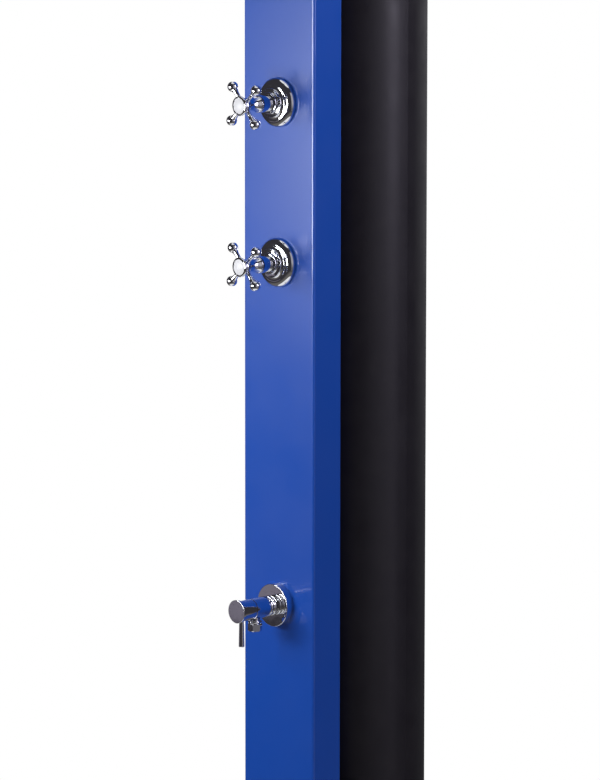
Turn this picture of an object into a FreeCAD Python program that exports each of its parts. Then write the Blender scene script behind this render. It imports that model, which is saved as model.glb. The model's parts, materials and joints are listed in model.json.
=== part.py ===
import FreeCAD
import Part
import math
import os

from FreeCAD import Vector

# Outdoor shower post with a sun-heated water tank.
#
# An open-backed aluminium profile stands in front of a black PVC tank.  Inside the profile run
# the pipes: mains water comes in low on the left side and feeds the tank, the foot tap and the
# lower valve; warm water leaves the tank near its top and comes down to the upper valve; both
# valves empty into one riser that climbs to the shower arm.
#
# Frame: +Z up, +X to the right of someone facing the post, the front looks along -Y.
# The origin is on the floor, at the middle of the base plate.  Lengths are in millimetres.
# "Out" is a distance forwards from the painted front face; negative is inside the post.

# ---------------------------------------------------------------- clearances
SLIP = 0.1                  # radial gap of pieces that are screwed, cemented or pushed together
RUN = 0.05                  # radial gap of a shaft in its bore, or a pipe in its socket
MOVE_GAP = 0.5              # gap between a moving piece and a fixed one along the axis

# ---------------------------------------------------------------- profile
PANEL_WIDTH = 122.0
PANEL_DEPTH = 47.0
PANEL_WALL = 2.0
PANEL_CORNER_R = 3.0
PANEL_LIP = 20.0            # width of each lip that returns along the open back
PANEL_TOP_Z = 2170.0
SCREW_PORT_R = 4.0          # C-shaped channels in the profile's corners, for the cap's screws
SCREW_PORT_BORE_R = 2.1
SCREW_PORT_SLOT = 2.0
SCREW_PORT_SINK = 0.8       # how far a screw port merges into the walls beside it
TOP_CAP_THICK = 4.0
TOP_CAP_RIB = 8.0
TOP_CAP_EDGE_R = 1.2
CAP_SCREW_R = 1.9
CAP_SCREW_HEAD_R = 3.8
CAP_SCREW_GRIP = 14.0
CAP_SCREW_SINK = 0.3        # screw heads below the cap's face

# ---------------------------------------------------------------- tank
TANK_DIA = 160.0
TANK_GAP = 13.0             # profile's back to the tank, bridged by the saddles
TANK_WALL = 4.0
TANK_TOP_DROP = 50.0        # top of the tube below the top of the profile
TANK_BOSS_R = 16.0
DRAIN_BOSS = 6.0
CAP_WALL = 4.0
CAP_SOCKET = 55.0           # how far a tank cap sleeves over the tube
CAP_FLOOR = 6.0
CAP_EDGE_R = 3.0
CAP_STOP_RIB = 3.0          # ledge inside the top cap that the tube's end meets
DOME_KNUCKLE_R = 28.0
DOME_CROWN_R = 130.0
DRAIN_PLUG_GRIP = 14.0
DRAIN_WASHER = 2.0
DRAIN_HEAD = 8.0
DRAIN_FLATS = 22.0

# ---------------------------------------------------------------- base
BASE_WIDTH = 240.0
BASE_LENGTH = 280.0
BASE_THICK = 6.0
BASE_CORNER_R = 14.0
BASE_EDGE = 1.0
ANCHOR_INSET = 20.0         # anchor hole to the plate's edges
ANCHOR_HOLE_R = 5.5
COLLAR_HEIGHT = 40.0
COLLAR_WALL = 3.0
BRACKET_HEIGHT = 50.0
BRACKET_STEEL = 3.0
FOOT_SCREW_R = 2.5
FOOT_SCREW_UP = 30.0        # bracket screws above the plate

# ---------------------------------------------------------------- heights above the floor
HOSE_INLET_Z = 92.0
DRAIN_Z = 112.0
TANK_INLET_Z = 150.0
FOOT_TAP_Z = 580.0
LOWER_VALVE_Z = 1000.0
UPPER_VALVE_Z = 1194.0
OUTLET_DROP = 140.0         # warm-water outlet below the top of the profile
ARM_DROP = 60.0             # shower arm below the top of the profile
SADDLE_Z = (330.0, 1350.0)
TOP_SADDLE_DROP = 230.0     # highest saddle below the top of the profile

# ---------------------------------------------------------------- saddles
SADDLE_HEIGHT = 44.0
SADDLE_EDGE = 4.0           # a saddle stops this far short of the profile's sides
SADDLE_TONGUE = 6.0
SADDLE_RIM = 5.0            # wall left around the pockets moulded into the block
SADDLE_PITCH = 24.0         # upper screw above lower screw
SADDLE_SCREW_R = 1.7
SADDLE_SCREW_HEAD_R = 3.5
SADDLE_SCREW_GRIP = 10.0

# ---------------------------------------------------------------- pipework
PIPE_R = 7.5
PIPE_WALL = 1.0
BARREL_R = 13.0             # outside of the brass fittings
BARREL_BORE_R = 6.5
BRANCH_R = 11.0             # outside of the riser's branches
PIPE_GAP = 4.0              # between a barrel and the back of the painted wall
NUT_FLATS = 24.0
NUT_HEIGHT = 12.0
SOCKET_DEPTH = 12.0         # how far a pipe enters a fitting
RISER_GAP = 5.0             # riser's nuts to the profile's side wall
FITTING_REACH = 32.0        # a branch's axis to the end of its fitting
BAR_REACH = 45.0            # the mixer bar runs on this far past each valve
RISER_SOCKET = 26.0
MANIFOLD_FOOT = 20.0
MANIFOLD_FLOOR = 5.0
INLET_BRANCH_R = 12.6       # outside of the manifold's branch to the hose inlet
SIDE_BORE_R = 6.2           # side bores, a little narrower than the barrel's
TANK_FACE_GAP = 1.5         # fittings' back ports stand this far behind their barrels
BACK_THREAD_START = 4.0     # pipe axis to the start of a back port's thread

# ---------------------------------------------------------------- threads and ports
THREAD_R = 10.48            # half-inch pipe thread, outside
INLET_GRIP = 14.0
INLET_HEX = 7.0
INLET_FLATS = 27.0
INLET_THREAD = 16.0
INLET_LEAD = 1.0
INLET_BORE_R = 7.0
PORT_BOSS_R = 15.0
PORT_COLLAR_R = 13.0
PORT_COLLAR_OUT = 5.0
PORT_HOLE_GAP = 0.4
GASKET_THICK = 1.0
LOCK_NUT_FLATS = 32.0
LOCK_NUT_THICK = 4.0

# ---------------------------------------------------------------- valves
ROSE_R = 29.9
ROSE_EDGE = 3.6             # height of the rose's upright edge
ROSE_SHEET = 1.6
ROSE_MOUTH = 11.4           # out, where the bell ends in its bead
ROSE_BEAD_R = 17.8
ROSE_BEAD_OUT = 12.8
ROSE_RING_OUTSET = 3.0      # neck ring outside the sleeve's outline
ROSE_RING_OUT = 16.4
ROSE_END = 18.0
SLEEVE_R = 10.3
SLEEVE_WALL = 1.4
SLEEVE_END = 33.0
CARTRIDGE_R = 9.5
CARTRIDGE_NECK_R = 5.6
CARTRIDGE_SHOULDER = 28.0
CARTRIDGE_END = 40.5
SEAT_GAP = 2.0              # cartridges stop short of the pipes' axis plane
SPINDLE_R = 4.0
SPINDLE_SQUARE = 5.6
SQUARE_START = 41.5
SQUARE_END = 59.5
HANDLE_SCREW_R = 2.0
HANDLE_SCREW_GRIP = 10.0
HANDLE_SCREW_HEAD_R = 4.2
HANDLE_SCREW_HEAD = 2.3

# ---------------------------------------------------------------- cross handles
HANDLE_TURN = 42.4          # the closed handle stands as an X
SKIRT_INSET = 0.3           # handle's skirt inside the sleeve's outline
WAIST_R = 6.4
HUB_R = 9.0
PLATE_R = 12.1
ARM_PLANE = 57.2            # out, to the middle of the four arms
ARM_CIRCLE_R = 28.8         # handle axis to the middle of an end ball
ARM_WAIST_R = 2.5
BALL_R = 6.5
SCREW_SEAT = 61.5
INDEX_SEAT = 64.1
INDEX_R = 9.3
INDEX_DOME = 2.2            # height of the button's crown
HUB_FACE = 66.1

# ---------------------------------------------------------------- foot tap
FLANGE_R = 26.2
FLANGE_DEPTH = 10.7
FLANGE_SHEET = 1.6
TAP_NECK_R = 11.0
TAP_BODY_R = 12.6
TAP_BODY_START = 24.4
TAP_BODY_END = 46.5
TAP_RING_R = 12.5
TAP_RING_OUT = (15.0, 20.8)
SPOUT_OUT = 39.5
SPOUT_R = 6.0
SPOUT_RING_R = 8.3          # rolled ring between the body and the outlet nut
SPOUT_RING = 3.4
SPOUT_BORE_R = 4.4
SPOUT_DROP = 27.5           # tap axis to the spout's mouth
SPOUT_NUT = 9.6
SPOUT_FLATS = 15.6
TAP_CARTRIDGE_R = 9.0
TAP_CARTRIDGE_END = 57.0
TAP_DRIVE_START = 58.0
TAP_DRIVE_END = 64.5
TAP_HANDLE_R = 12.8
TAP_HANDLE_WALL = 2.6
TAP_LIP_R = 14.3            # lip round the rotating end's flat face
TAP_LIP = 3.0
TAP_LIP_TAPER = 1.4
TAP_HANDLE_FACE = 70.6
LEVER_OUT = 61.8
LEVER_REACH = 44.4
LEVER_TANG_START = 7.2
LEVER_TANG_R = 2.2
LEVER_TOP_R = 2.9
LEVER_END_R = 3.5

# ---------------------------------------------------------------- shower arm and head
ARM_TUBE_R = 10.5
ARM_TUBE_WALL = 1.2
ARM_REACH = 330.0
ARM_BEND_R = 50.0
ARM_TAIL = 20.0             # straight end below the bend
ARM_GRIP = 13.0             # how far the arm enters its elbow behind the painted face
ARM_FLANGE_R = 30.0
ARM_FLANGE_DEPTH = 12.0
JOINT_FLATS = 25.0
JOINT_GRIP = 12.0
JOINT_STEM_R = 6.0
JOINT_BORE_R = 4.0
JOINT_BALL_R = 9.0
BALL_DROP = 18.0            # end of the arm down to the middle of the ball
SEAT_TOP = -5.6             # heights of the head's pieces are from the middle of the ball
SEAT_BOTTOM = -8.0
CUP_R = 11.0
CUP_TOP = -1.5
CUP_WALL = 1.0
NECK_BOTTOM = -13.0
HEAD_NUT_R = 14.8
HEAD_NUT_TOP = 5.0
HEAD_R = 100.0
HEAD_WALL = 1.5
HEAD_RIM_TOP = -35.5
HEAD_FACE = -39.5
FACE_PLATE_THICK = 1.5
MAT_THICK = 1.0
NOZZLE_R = 1.8
NOZZLE_TIP_R = 1.1
NOZZLE_PROUD = 2.4
NOZZLE_RINGS = ((24.0, 6), (52.0, 12), (80.0, 18))

# ---------------------------------------------------------------- places worked out from them
PANEL_FRONT_Y = -(PANEL_DEPTH + TANK_GAP + TANK_DIA) / 2
PANEL_BACK_Y = PANEL_FRONT_Y + PANEL_DEPTH
INNER_X = PANEL_WIDTH / 2 - PANEL_WALL
SLOT_X = PANEL_WIDTH / 2 - PANEL_LIP
PORT_INSET = SCREW_PORT_R - SCREW_PORT_SINK
PORT_SPAN = PORT_INSET + SCREW_PORT_R
BRANCH_END = INNER_X - PORT_SPAN - MOVE_GAP
TANK_R = TANK_DIA / 2
TANK_Y = PANEL_BACK_Y + TANK_GAP + TANK_R
TANK_INSIDE_R = TANK_R - TANK_WALL
TUBE_BOTTOM_Z = BASE_THICK + CAP_FLOOR
TUBE_TOP_Z = PANEL_TOP_Z - TANK_TOP_DROP
CAP_INSIDE_R = TANK_R + SLIP
CAP_R = CAP_INSIDE_R + CAP_WALL
COLLAR_INSIDE_R = CAP_R + SLIP
COLLAR_R = COLLAR_INSIDE_R + COLLAR_WALL
ANCHOR_X = BASE_WIDTH / 2 - ANCHOR_INSET
ANCHOR_Y = BASE_LENGTH / 2 - ANCHOR_INSET
TANK_OUTLET_Z = PANEL_TOP_Z - OUTLET_DROP
ARM_Z = PANEL_TOP_Z - ARM_DROP
SADDLES = SADDLE_Z + (PANEL_TOP_Z - TOP_SADDLE_DROP,)
PIPE_INSET = PANEL_WALL + PIPE_GAP + BARREL_R
PIPE_Y = PANEL_FRONT_Y + PIPE_INSET
BOSS_REACH = BARREL_R + TANK_FACE_GAP
ROSE_RING_R = SLEEVE_R + ROSE_RING_OUTSET
SKIRT_R = SLEEVE_R - SKIRT_INSET
RISER_X = INNER_X - NUT_FLATS / math.sqrt(3) - RISER_GAP
MANIFOLD_TOP_Z = TANK_INLET_Z + FITTING_REACH
MIX_Z = (LOWER_VALVE_Z + UPPER_VALVE_Z) / 2
HEAD_Y = PANEL_FRONT_Y - ARM_REACH
ARM_END_Z = ARM_Z - ARM_BEND_R - ARM_TAIL
BALL_Z = ARM_END_Z - BALL_DROP

UP = Vector(0, 0, 1)
DOWN = Vector(0, 0, -1)
FRONT = Vector(0, -1, 0)
BACK = Vector(0, 1, 0)
LEFT = Vector(-1, 0, 0)
RIGHT = Vector(1, 0, 0)


# ---------------------------------------------------------------- shape helpers
def outline(start, *steps):
    """Closed face in the XZ plane.  A step is a point, or (through, end) for an arc."""
    edges = []
    here = start
    for step in steps + (start,):
        is_arc = isinstance(step[0], tuple)
        end = step[1] if is_arc else step
        a = Vector(here[0], 0, here[1])
        b = Vector(end[0], 0, end[1])
        if is_arc:
            middle = Vector(step[0][0], 0, step[0][1])
            edges.append(Part.Arc(a, middle, b).toShape())
        elif (b - a).Length > 1e-6:
            edges.append(Part.makeLine(a, b))
        here = end
    return Part.Face(Part.Wire(edges))


def placed(shape, origin, direction):
    """The shape with its own +Z turned to direction and its origin moved to origin."""
    shape.Placement = FreeCAD.Placement(origin, FreeCAD.Rotation(UP, direction))
    return shape


def turned(origin, direction, start, *steps):
    """Solid of revolution of an outline of (radius, distance along direction)."""
    solid = outline(start, *steps).revolve(Vector(), UP, 360)
    return placed(solid, origin, direction)


def bead(radius, middle, half, swell):
    """Outline steps of a rounded ring, from its near edge to its far edge."""
    far = (radius - swell, middle + half)
    return (radius - swell, middle - half), ((radius, middle), far)


def crown(radius, base, rise):
    """Outline step of a shallow ball-shaped crown, from its edge to its pole on the axis."""
    ball = (radius ** 2 + rise ** 2) / (2 * rise)
    half = math.asin(radius / ball) / 2
    return (ball * math.sin(half), base + rise - ball * (1 - math.cos(half))), (0, base + rise)


def rod(origin, direction, radius, start, end):
    """Cylinder along direction, from start to end measured from origin."""
    return Part.makeCylinder(radius, end - start, origin + direction * start, direction)


def ring(origin, direction, outer, inner, start, end):
    """Hollow cylinder along direction."""
    return rod(origin, direction, outer, start, end).cut(rod(origin, direction, inner, start, end))


def block(x0, x1, y0, y1, z0, z1):
    """Box between two corners."""
    return Part.makeBox(x1 - x0, y1 - y0, z1 - z0, Vector(x0, y0, z0))


def hexagon(origin, direction, flats, start, end):
    """Hexagonal bar along direction, flats measured across."""
    corner = flats / math.sqrt(3)
    turns = [math.radians(60 * i) for i in range(7)]
    points = [Vector(corner * math.cos(t), corner * math.sin(t), start) for t in turns]
    return placed(Part.Face(Part.makePolygon(points)).extrude(UP * (end - start)), origin, direction)


def square_bar(origin, direction, side, start, end):
    """Square bar along direction."""
    bar = Part.makeBox(side, side, end - start, Vector(-side / 2, -side / 2, start))
    return placed(bar, origin, direction)


def rounded_block(x0, x1, y0, y1, z0, z1, radius):
    """Box with its four upright edges rounded."""
    solid = block(x0, x1, y0, y1, z0, z1)
    upright = [e for e in solid.Edges if abs(e.tangentAt(e.FirstParameter).z) > 0.99]
    return solid.makeFillet(radius, upright)


def top_edges(solid):
    """Edges that lie in the solid's highest plane."""
    return [e for e in solid.Edges if e.BoundBox.ZMin > solid.BoundBox.ZMax - 0.01]


def bent_tube(start, runs, radius, wall):
    """Tube along straight runs joined by tangent quarter bends.

    runs is a list of (direction, length, bend radius at its end).
    """
    edges = []
    here = start
    for number, (way, length, bend) in enumerate(runs):
        there = here + way * length
        edges.append(Part.makeLine(here, there))
        here = there
        if bend:
            after = runs[number + 1][0]
            half = math.sqrt(0.5)
            middle = here + way * (bend * half) + after * (bend * (1 - half))
            there = here + way * bend + after * bend
            edges.append(Part.Arc(here, middle, there).toShape())
            here = there
    path = Part.Wire(edges)
    outside = Part.Wire(Part.makeCircle(radius, start, runs[0][0]))
    inside = Part.Wire(Part.makeCircle(radius - wall, start, runs[0][0]))
    solid = path.makePipeShell([outside], True, True)
    return solid.cut(path.makePipeShell([inside], True, True))


def on_front(z):
    """Point on the painted front face, on the post's centre line."""
    return Vector(0, PANEL_FRONT_Y, z)


def pipe_point(x, z):
    """Point on the centre line of an upright pipe inside the profile."""
    return Vector(x, PIPE_Y, z)


def tank_point(z):
    """Point on the tank's axis."""
    return Vector(0, TANK_Y, z)


# ---------------------------------------------------------------- profile
def port_places():
    """Where the four screw ports stand."""
    x = INNER_X - PORT_INSET
    front = PANEL_FRONT_Y + PANEL_WALL + PORT_INSET
    back = PANEL_BACK_Y - PANEL_WALL - PORT_INSET
    return [(side * x, y) for side in (-1, 1) for y in (front, back)]


def screw_port(x, y):
    """C-shaped channel that a self-tapping screw bites into, open towards the pipes."""
    half = SCREW_PORT_SLOT / 2
    far = x - math.copysign(SCREW_PORT_R + 1, x)
    port = ring(Vector(x, y, 0), UP, SCREW_PORT_R, SCREW_PORT_BORE_R, BASE_THICK, PANEL_TOP_Z)
    slot = block(min(x, far), max(x, far), y - half, y + half, BASE_THICK, PANEL_TOP_Z)
    return port.cut(slot)


def front_panel():
    half = PANEL_WIDTH / 2
    wall = PANEL_WALL
    front = PANEL_FRONT_Y + wall
    back = PANEL_BACK_Y - wall
    foot = BASE_THICK
    top = PANEL_TOP_Z
    outer = rounded_block(-half, half, PANEL_FRONT_Y, PANEL_BACK_Y, foot, top, PANEL_CORNER_R)
    inner = block(-INNER_X, INNER_X, front, back, foot, top)
    slot = block(-SLOT_X, SLOT_X, back - 1, PANEL_BACK_Y + 1, foot, top)
    panel = outer.cut([inner, slot]).fuse([screw_port(x, y) for x, y in port_places()])
    holes = [
        rod(on_front(z), FRONT, PORT_COLLAR_R + PORT_HOLE_GAP, -wall - 1, 1)
        for z in (FOOT_TAP_Z, LOWER_VALVE_Z, UPPER_VALVE_Z, ARM_Z)
    ]
    holes.append(rod(pipe_point(0, HOSE_INLET_Z), LEFT, THREAD_R + SLIP, BRANCH_END, half + 1))
    holes += [rod(spot, way, FOOT_SCREW_R + SLIP, -wall - 1, 1) for spot, way in side_screw_spots()]
    holes += [rod(spot, BACK, SADDLE_SCREW_R + SLIP, -1, wall + 1) for spot in saddle_screw_spots()]
    return panel.cut(holes).removeSplitter()


def panel_top_cap():
    """End cap: a plate over the profile's end with a rib that drops inside its walls."""
    half = PANEL_WIDTH / 2
    top = PANEL_TOP_Z
    plate = rounded_block(
        -half, half, PANEL_FRONT_Y, PANEL_BACK_Y, top, top + TOP_CAP_THICK, PANEL_CORNER_R
    )
    plate = plate.makeFillet(TOP_CAP_EDGE_R, top_edges(plate))
    x = INNER_X - PORT_SPAN - 1
    front = PANEL_FRONT_Y + PANEL_WALL + SLIP
    back = PANEL_BACK_Y - PANEL_WALL - SLIP
    wall = PANEL_WALL
    rib = block(-x, x, front, back, top - TOP_CAP_RIB, top)
    hollow = block(-x + wall, x - wall, front + wall, back - wall, top - TOP_CAP_RIB, top)
    sinks = [
        turned(Vector(px, py, top), UP, *countersink(SLIP), (CAP_SCREW_HEAD_R + SLIP, TOP_CAP_THICK + 1),
               (0, TOP_CAP_THICK + 1))
        for px, py in port_places()
    ]
    return plate.fuse(rib.cut(hollow)).cut(sinks)


def countersink(gap):
    """Outline of a countersunk hole up to its rim, each radius wider by gap."""
    rim = TOP_CAP_THICK - CAP_SCREW_SINK
    cone = CAP_SCREW_HEAD_R - CAP_SCREW_R
    return (0, -1), (CAP_SCREW_R + gap, -1), (CAP_SCREW_R + gap, rim - cone), (CAP_SCREW_HEAD_R + gap, rim)


def top_cap_screws():
    """Four countersunk screws down into the screw ports."""
    screws = []
    for x, y in port_places():
        head = turned(Vector(x, y, PANEL_TOP_Z), UP, *countersink(0), (0, TOP_CAP_THICK - CAP_SCREW_SINK))
        screws.append(head.fuse(rod(Vector(x, y, PANEL_TOP_Z), DOWN, CAP_SCREW_R, 0, CAP_SCREW_GRIP)))
    return Part.Compound([screw.removeSplitter() for screw in screws])


# ---------------------------------------------------------------- tank
def tank_boss(z, direction, reach):
    """Boss welded to the tube that carries a half-inch thread through its wall."""
    return rod(tank_point(z), direction, TANK_BOSS_R, TANK_INSIDE_R - TANK_WALL, reach)


def boss_reach():
    """Tank axis to the faces of the front bosses, where the fittings' back ports end."""
    return TANK_Y - PIPE_Y - BOSS_REACH


def tank_tube():
    front = boss_reach()
    back = TANK_R + DRAIN_BOSS
    tube = rod(tank_point(0), UP, TANK_R, TUBE_BOTTOM_Z, TUBE_TOP_Z).fuse([
        tank_boss(TANK_INLET_Z, FRONT, front),
        tank_boss(TANK_OUTLET_Z, FRONT, front),
        tank_boss(DRAIN_Z, BACK, back),
    ])
    return tube.cut([
        rod(tank_point(0), UP, TANK_INSIDE_R, TUBE_BOTTOM_Z, TUBE_TOP_Z),
        rod(tank_point(TANK_INLET_Z), FRONT, THREAD_R + SLIP, 0, front),
        rod(tank_point(TANK_OUTLET_Z), FRONT, THREAD_R + SLIP, 0, front),
        rod(tank_point(DRAIN_Z), BACK, THREAD_R + SLIP, 0, back),
    ])


def tank_bottom_cap():
    """Socket cap, cemented over the lower end of the tube."""
    knee = CAP_EDGE_R * (1 - math.sqrt(0.5))
    rim = CAP_FLOOR + CAP_SOCKET
    return turned(
        tank_point(BASE_THICK), UP,
        (0, 0), (CAP_R - CAP_EDGE_R, 0), ((CAP_R - knee, knee), (CAP_R, CAP_EDGE_R)),
        (CAP_R, rim), (CAP_INSIDE_R, rim), (CAP_INSIDE_R, CAP_FLOOR), (0, CAP_FLOOR),
    )


def dome(inset, start):
    """Outline steps of the dome from height start to its pole, inset from the outside.

    The knuckle's middle is level with the tube's end and the crown's middle is on the axis, so
    the two arcs meet tangentially.
    """
    knuckle = DOME_KNUCKLE_R - inset
    crown = DOME_CROWN_R - inset
    knuckle_x = CAP_R - DOME_KNUCKLE_R
    crown_z = -math.sqrt((DOME_CROWN_R - DOME_KNUCKLE_R) ** 2 - knuckle_x ** 2)
    meet = math.asin(knuckle_x / (DOME_CROWN_R - DOME_KNUCKLE_R))
    first = math.asin(start / knuckle)
    middle = (first + math.pi / 2 - meet) / 2
    join = (crown * math.sin(meet), crown_z + crown * math.cos(meet))
    return [
        (knuckle_x + knuckle * math.cos(first), start),
        ((knuckle_x + knuckle * math.cos(middle), knuckle * math.sin(middle)), join),
        ((crown * math.sin(meet / 2), crown_z + crown * math.cos(meet / 2)), (0, crown_z + crown)),
    ]


def tank_top_cap():
    """Domed socket cap over the upper end of the tube."""
    outside = dome(0, 0)
    inside = dome(CAP_WALL, CAP_STOP_RIB)
    base = tank_point(TUBE_TOP_Z)
    shell = turned(base, UP, (0, -CAP_SOCKET), (CAP_R, -CAP_SOCKET), *outside)
    hollow = turned(base, UP, (0, CAP_STOP_RIB), *inside)
    mouth = rod(base, UP, TANK_INSIDE_R, -1, CAP_STOP_RIB)
    socket = rod(base, UP, CAP_INSIDE_R, -CAP_SOCKET, 0)
    return shell.cut([hollow, mouth, socket])


def drain_plug():
    """Winter drain: hexagon-headed plug low on the back."""
    origin = tank_point(DRAIN_Z)
    face = TANK_R + DRAIN_BOSS + DRAIN_WASHER
    grip = rod(origin, BACK, THREAD_R, face - DRAIN_WASHER - DRAIN_PLUG_GRIP, face)
    rim = rod(origin, BACK, TANK_BOSS_R - 2, face, face + 1.6)
    head = hexagon(origin, BACK, DRAIN_FLATS, face, face + DRAIN_HEAD)
    corner = DRAIN_FLATS / math.sqrt(3)
    rounding = turned(
        origin, BACK, (0, face), (TANK_BOSS_R, face), (TANK_BOSS_R, face + 1.6), (corner, face + 1.6),
        (corner, face + DRAIN_HEAD - 1.2), (corner - 2, face + DRAIN_HEAD), (0, face + DRAIN_HEAD),
    )
    return grip.fuse(rim.fuse(head).common(rounding)).removeSplitter()


def drain_washer():
    face = TANK_R + DRAIN_BOSS
    return ring(tank_point(DRAIN_Z), BACK, TANK_BOSS_R - 1.5, THREAD_R + SLIP, face, face + DRAIN_WASHER)


def standpipe():
    """Tube inside the tank that draws from under the dome, where the water is warmest."""
    start = tank_point(TANK_OUTLET_Z) + FRONT * TANK_INSIDE_R
    bend = 20.0
    run = 18.0
    rise = TUBE_TOP_Z - TANK_OUTLET_Z - bend
    return bent_tube(start, [(BACK, run, bend), (UP, rise, 0)], BARREL_BORE_R - SLIP, PIPE_WALL)


# ---------------------------------------------------------------- saddles between profile and tank
def saddle(z):
    """Moulded block between the profile's lips and the round tank."""
    low = z - SADDLE_HEIGHT / 2
    high = z + SADDLE_HEIGHT / 2
    wing = PANEL_WIDTH / 2 - SADDLE_EDGE
    depth = TANK_GAP + TANK_R - math.sqrt(TANK_R ** 2 - wing ** 2)
    tongue = SLOT_X - MOVE_GAP
    front = PANEL_BACK_Y - SADDLE_TONGUE
    rim = SADDLE_RIM
    body = block(-wing, wing, PANEL_BACK_Y, PANEL_BACK_Y + depth, low, high)
    body = body.fuse(block(-tongue, tongue, front, PANEL_BACK_Y + 1, low, high))
    pockets = [
        block(x, x + tongue - 2 * rim, front - 1, PANEL_BACK_Y + TANK_GAP - rim, low + rim, high - rim)
        for x in (-tongue + rim, rim)
    ]
    screw_holes = [
        rod(spot, BACK, SADDLE_SCREW_R + RUN, 0, SADDLE_SCREW_GRIP + 1)
        for spot in saddle_screw_spots() if low < spot.z < high
    ]
    body = body.cut(rod(tank_point(0), UP, TANK_R, low - 1, high + 1))
    return body.cut(pockets + screw_holes).removeSplitter()


def saddle_screw_spots():
    """Two screws through each lip at each saddle, on the lips' inner faces."""
    x = SLOT_X + SADDLE_SCREW_HEAD_R + 1.5
    y = PANEL_BACK_Y - PANEL_WALL
    half = SADDLE_PITCH / 2
    return [Vector(side * x, y, z + dz) for z in SADDLES for side in (-1, 1) for dz in (-half, half)]


def saddle_screws():
    """Pan-head screws driven from inside the profile, through the lips into the saddles."""
    head = SADDLE_SCREW_HEAD_R
    shank = SADDLE_SCREW_R
    return Part.Compound([
        turned(spot, BACK, (0, -2.4), (head - 1.3, -2.4), ((head - 0.3, -1.7), (head, 0)), (shank, 0),
               (shank, SADDLE_SCREW_GRIP - 2), (0, SADDLE_SCREW_GRIP))
        for spot in saddle_screw_spots()
    ])


# ---------------------------------------------------------------- base
def base_plate():
    x = BASE_WIDTH / 2
    y = BASE_LENGTH / 2
    plate = rounded_block(-x, x, -y, y, 0, BASE_THICK, BASE_CORNER_R)
    plate = plate.makeChamfer(BASE_EDGE, top_edges(plate))
    return plate.cut([
        rod(Vector(sx * ANCHOR_X, sy * ANCHOR_Y, 0), UP, ANCHOR_HOLE_R, -1, BASE_THICK + 1)
        for sx in (-1, 1) for sy in (-1, 1)
    ])


def collar_screw_spots():
    """Three radial screws hold the tank's lower cap in the collar."""
    middle = tank_point(BASE_THICK + COLLAR_HEIGHT / 2)
    return [(middle + way * COLLAR_R, way) for way in (LEFT, RIGHT, BACK)]


def side_screw_spots():
    """One screw through each side wall into the foot bracket."""
    y = (PANEL_FRONT_Y + PANEL_BACK_Y) / 2
    z = BASE_THICK + FOOT_SCREW_UP
    half = PANEL_WIDTH / 2
    return [(Vector(-half, y, z), LEFT), (Vector(half, y, z), RIGHT)]


def base_collar():
    """Steel ring welded to the plate, a socket for the tank."""
    collar = ring(tank_point(BASE_THICK), UP, COLLAR_R, COLLAR_INSIDE_R, 0, COLLAR_HEIGHT)
    return collar.cut([
        rod(spot, way, FOOT_SCREW_R + SLIP, -COLLAR_WALL - 1, 1) for spot, way in collar_screw_spots()
    ])


def foot_bracket():
    """U-shaped steel bracket welded to the plate, inside the foot of the profile."""
    half = INNER_X - SLIP
    front = PANEL_FRONT_Y + PANEL_WALL + PORT_SPAN + 1
    back = PANEL_BACK_Y - PANEL_WALL - PORT_SPAN - 1
    steel = BRACKET_STEEL
    top = BASE_THICK + BRACKET_HEIGHT
    bracket = block(-half, half, front, back, BASE_THICK, top)
    gap = block(-half + steel, half - steel, front, back, BASE_THICK + steel, top)
    return bracket.cut(gap).cut([
        rod(spot, way, FOOT_SCREW_R + SLIP, -PANEL_WALL - steel - 1, 0)
        for spot, way in side_screw_spots()
    ])


def foot_screws():
    """Pan-head screws: three in the collar, stopping short of the cap, and two in the bracket."""
    r = FOOT_SCREW_R
    screws = []
    grips = [COLLAR_WALL + SLIP / 2] * 3 + [PANEL_WALL + BRACKET_STEEL + 3] * 2
    for (spot, way), grip in zip(collar_screw_spots() + side_screw_spots(), grips):
        screws.append(turned(
            spot, way, (0, -grip), (r - 0.4, -grip), (r, -grip + 0.6), (r, 0), (r + 2.1, 0),
            ((r + 1.7, 1.9), (r + 0.1, 2.6)), (0, 2.6),
        ))
    return Part.Compound(screws)


# ---------------------------------------------------------------- pipework inside the profile
def pipe_runs():
    """Each straight pipe as name, x, and the fittings' faces below and above it."""
    return {
        "cold_pipe_lower": (0, MANIFOLD_TOP_Z, FOOT_TAP_Z - FITTING_REACH),
        "cold_pipe_upper": (0, FOOT_TAP_Z + FITTING_REACH, LOWER_VALVE_Z - BAR_REACH),
        "hot_pipe": (0, UPPER_VALVE_Z + BAR_REACH, TANK_OUTLET_Z - FITTING_REACH),
        "mixed_riser": (RISER_X, MIX_Z + RISER_SOCKET, ARM_Z - RISER_SOCKET),
    }


def pipe(x, low, high):
    """Upright pipe that enters the fittings at both ends."""
    start = low - SOCKET_DEPTH
    end = high + SOCKET_DEPTH
    return ring(pipe_point(x, 0), UP, PIPE_R, PIPE_R - PIPE_WALL, start, end)


def pipe_nuts():
    """Compression nuts, one on each end of each pipe."""
    nuts = []
    for x, low, high in pipe_runs().values():
        for start in (low, high - NUT_HEIGHT):
            nut = hexagon(pipe_point(x, start), UP, NUT_FLATS, 0, NUT_HEIGHT)
            nuts.append(nut.cut(rod(pipe_point(x, start), UP, PIPE_R + RUN, 0, NUT_HEIGHT)))
    return Part.Compound(nuts)


def socket(x, face, direction):
    """Bore that takes a pipe's end, from a fitting's face inwards along direction."""
    return rod(pipe_point(x, face), direction, PIPE_R + RUN, 0, SOCKET_DEPTH)


def front_port(z):
    """Boss behind the painted wall's gasket, and the threaded collar that goes through the wall."""
    boss = rod(on_front(z), FRONT, PORT_BOSS_R, -PIPE_INSET, -PANEL_WALL - GASKET_THICK)
    collar = rod(on_front(z), FRONT, PORT_COLLAR_R, -PANEL_WALL - GASKET_THICK, PORT_COLLAR_OUT)
    return boss.fuse(collar)


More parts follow.
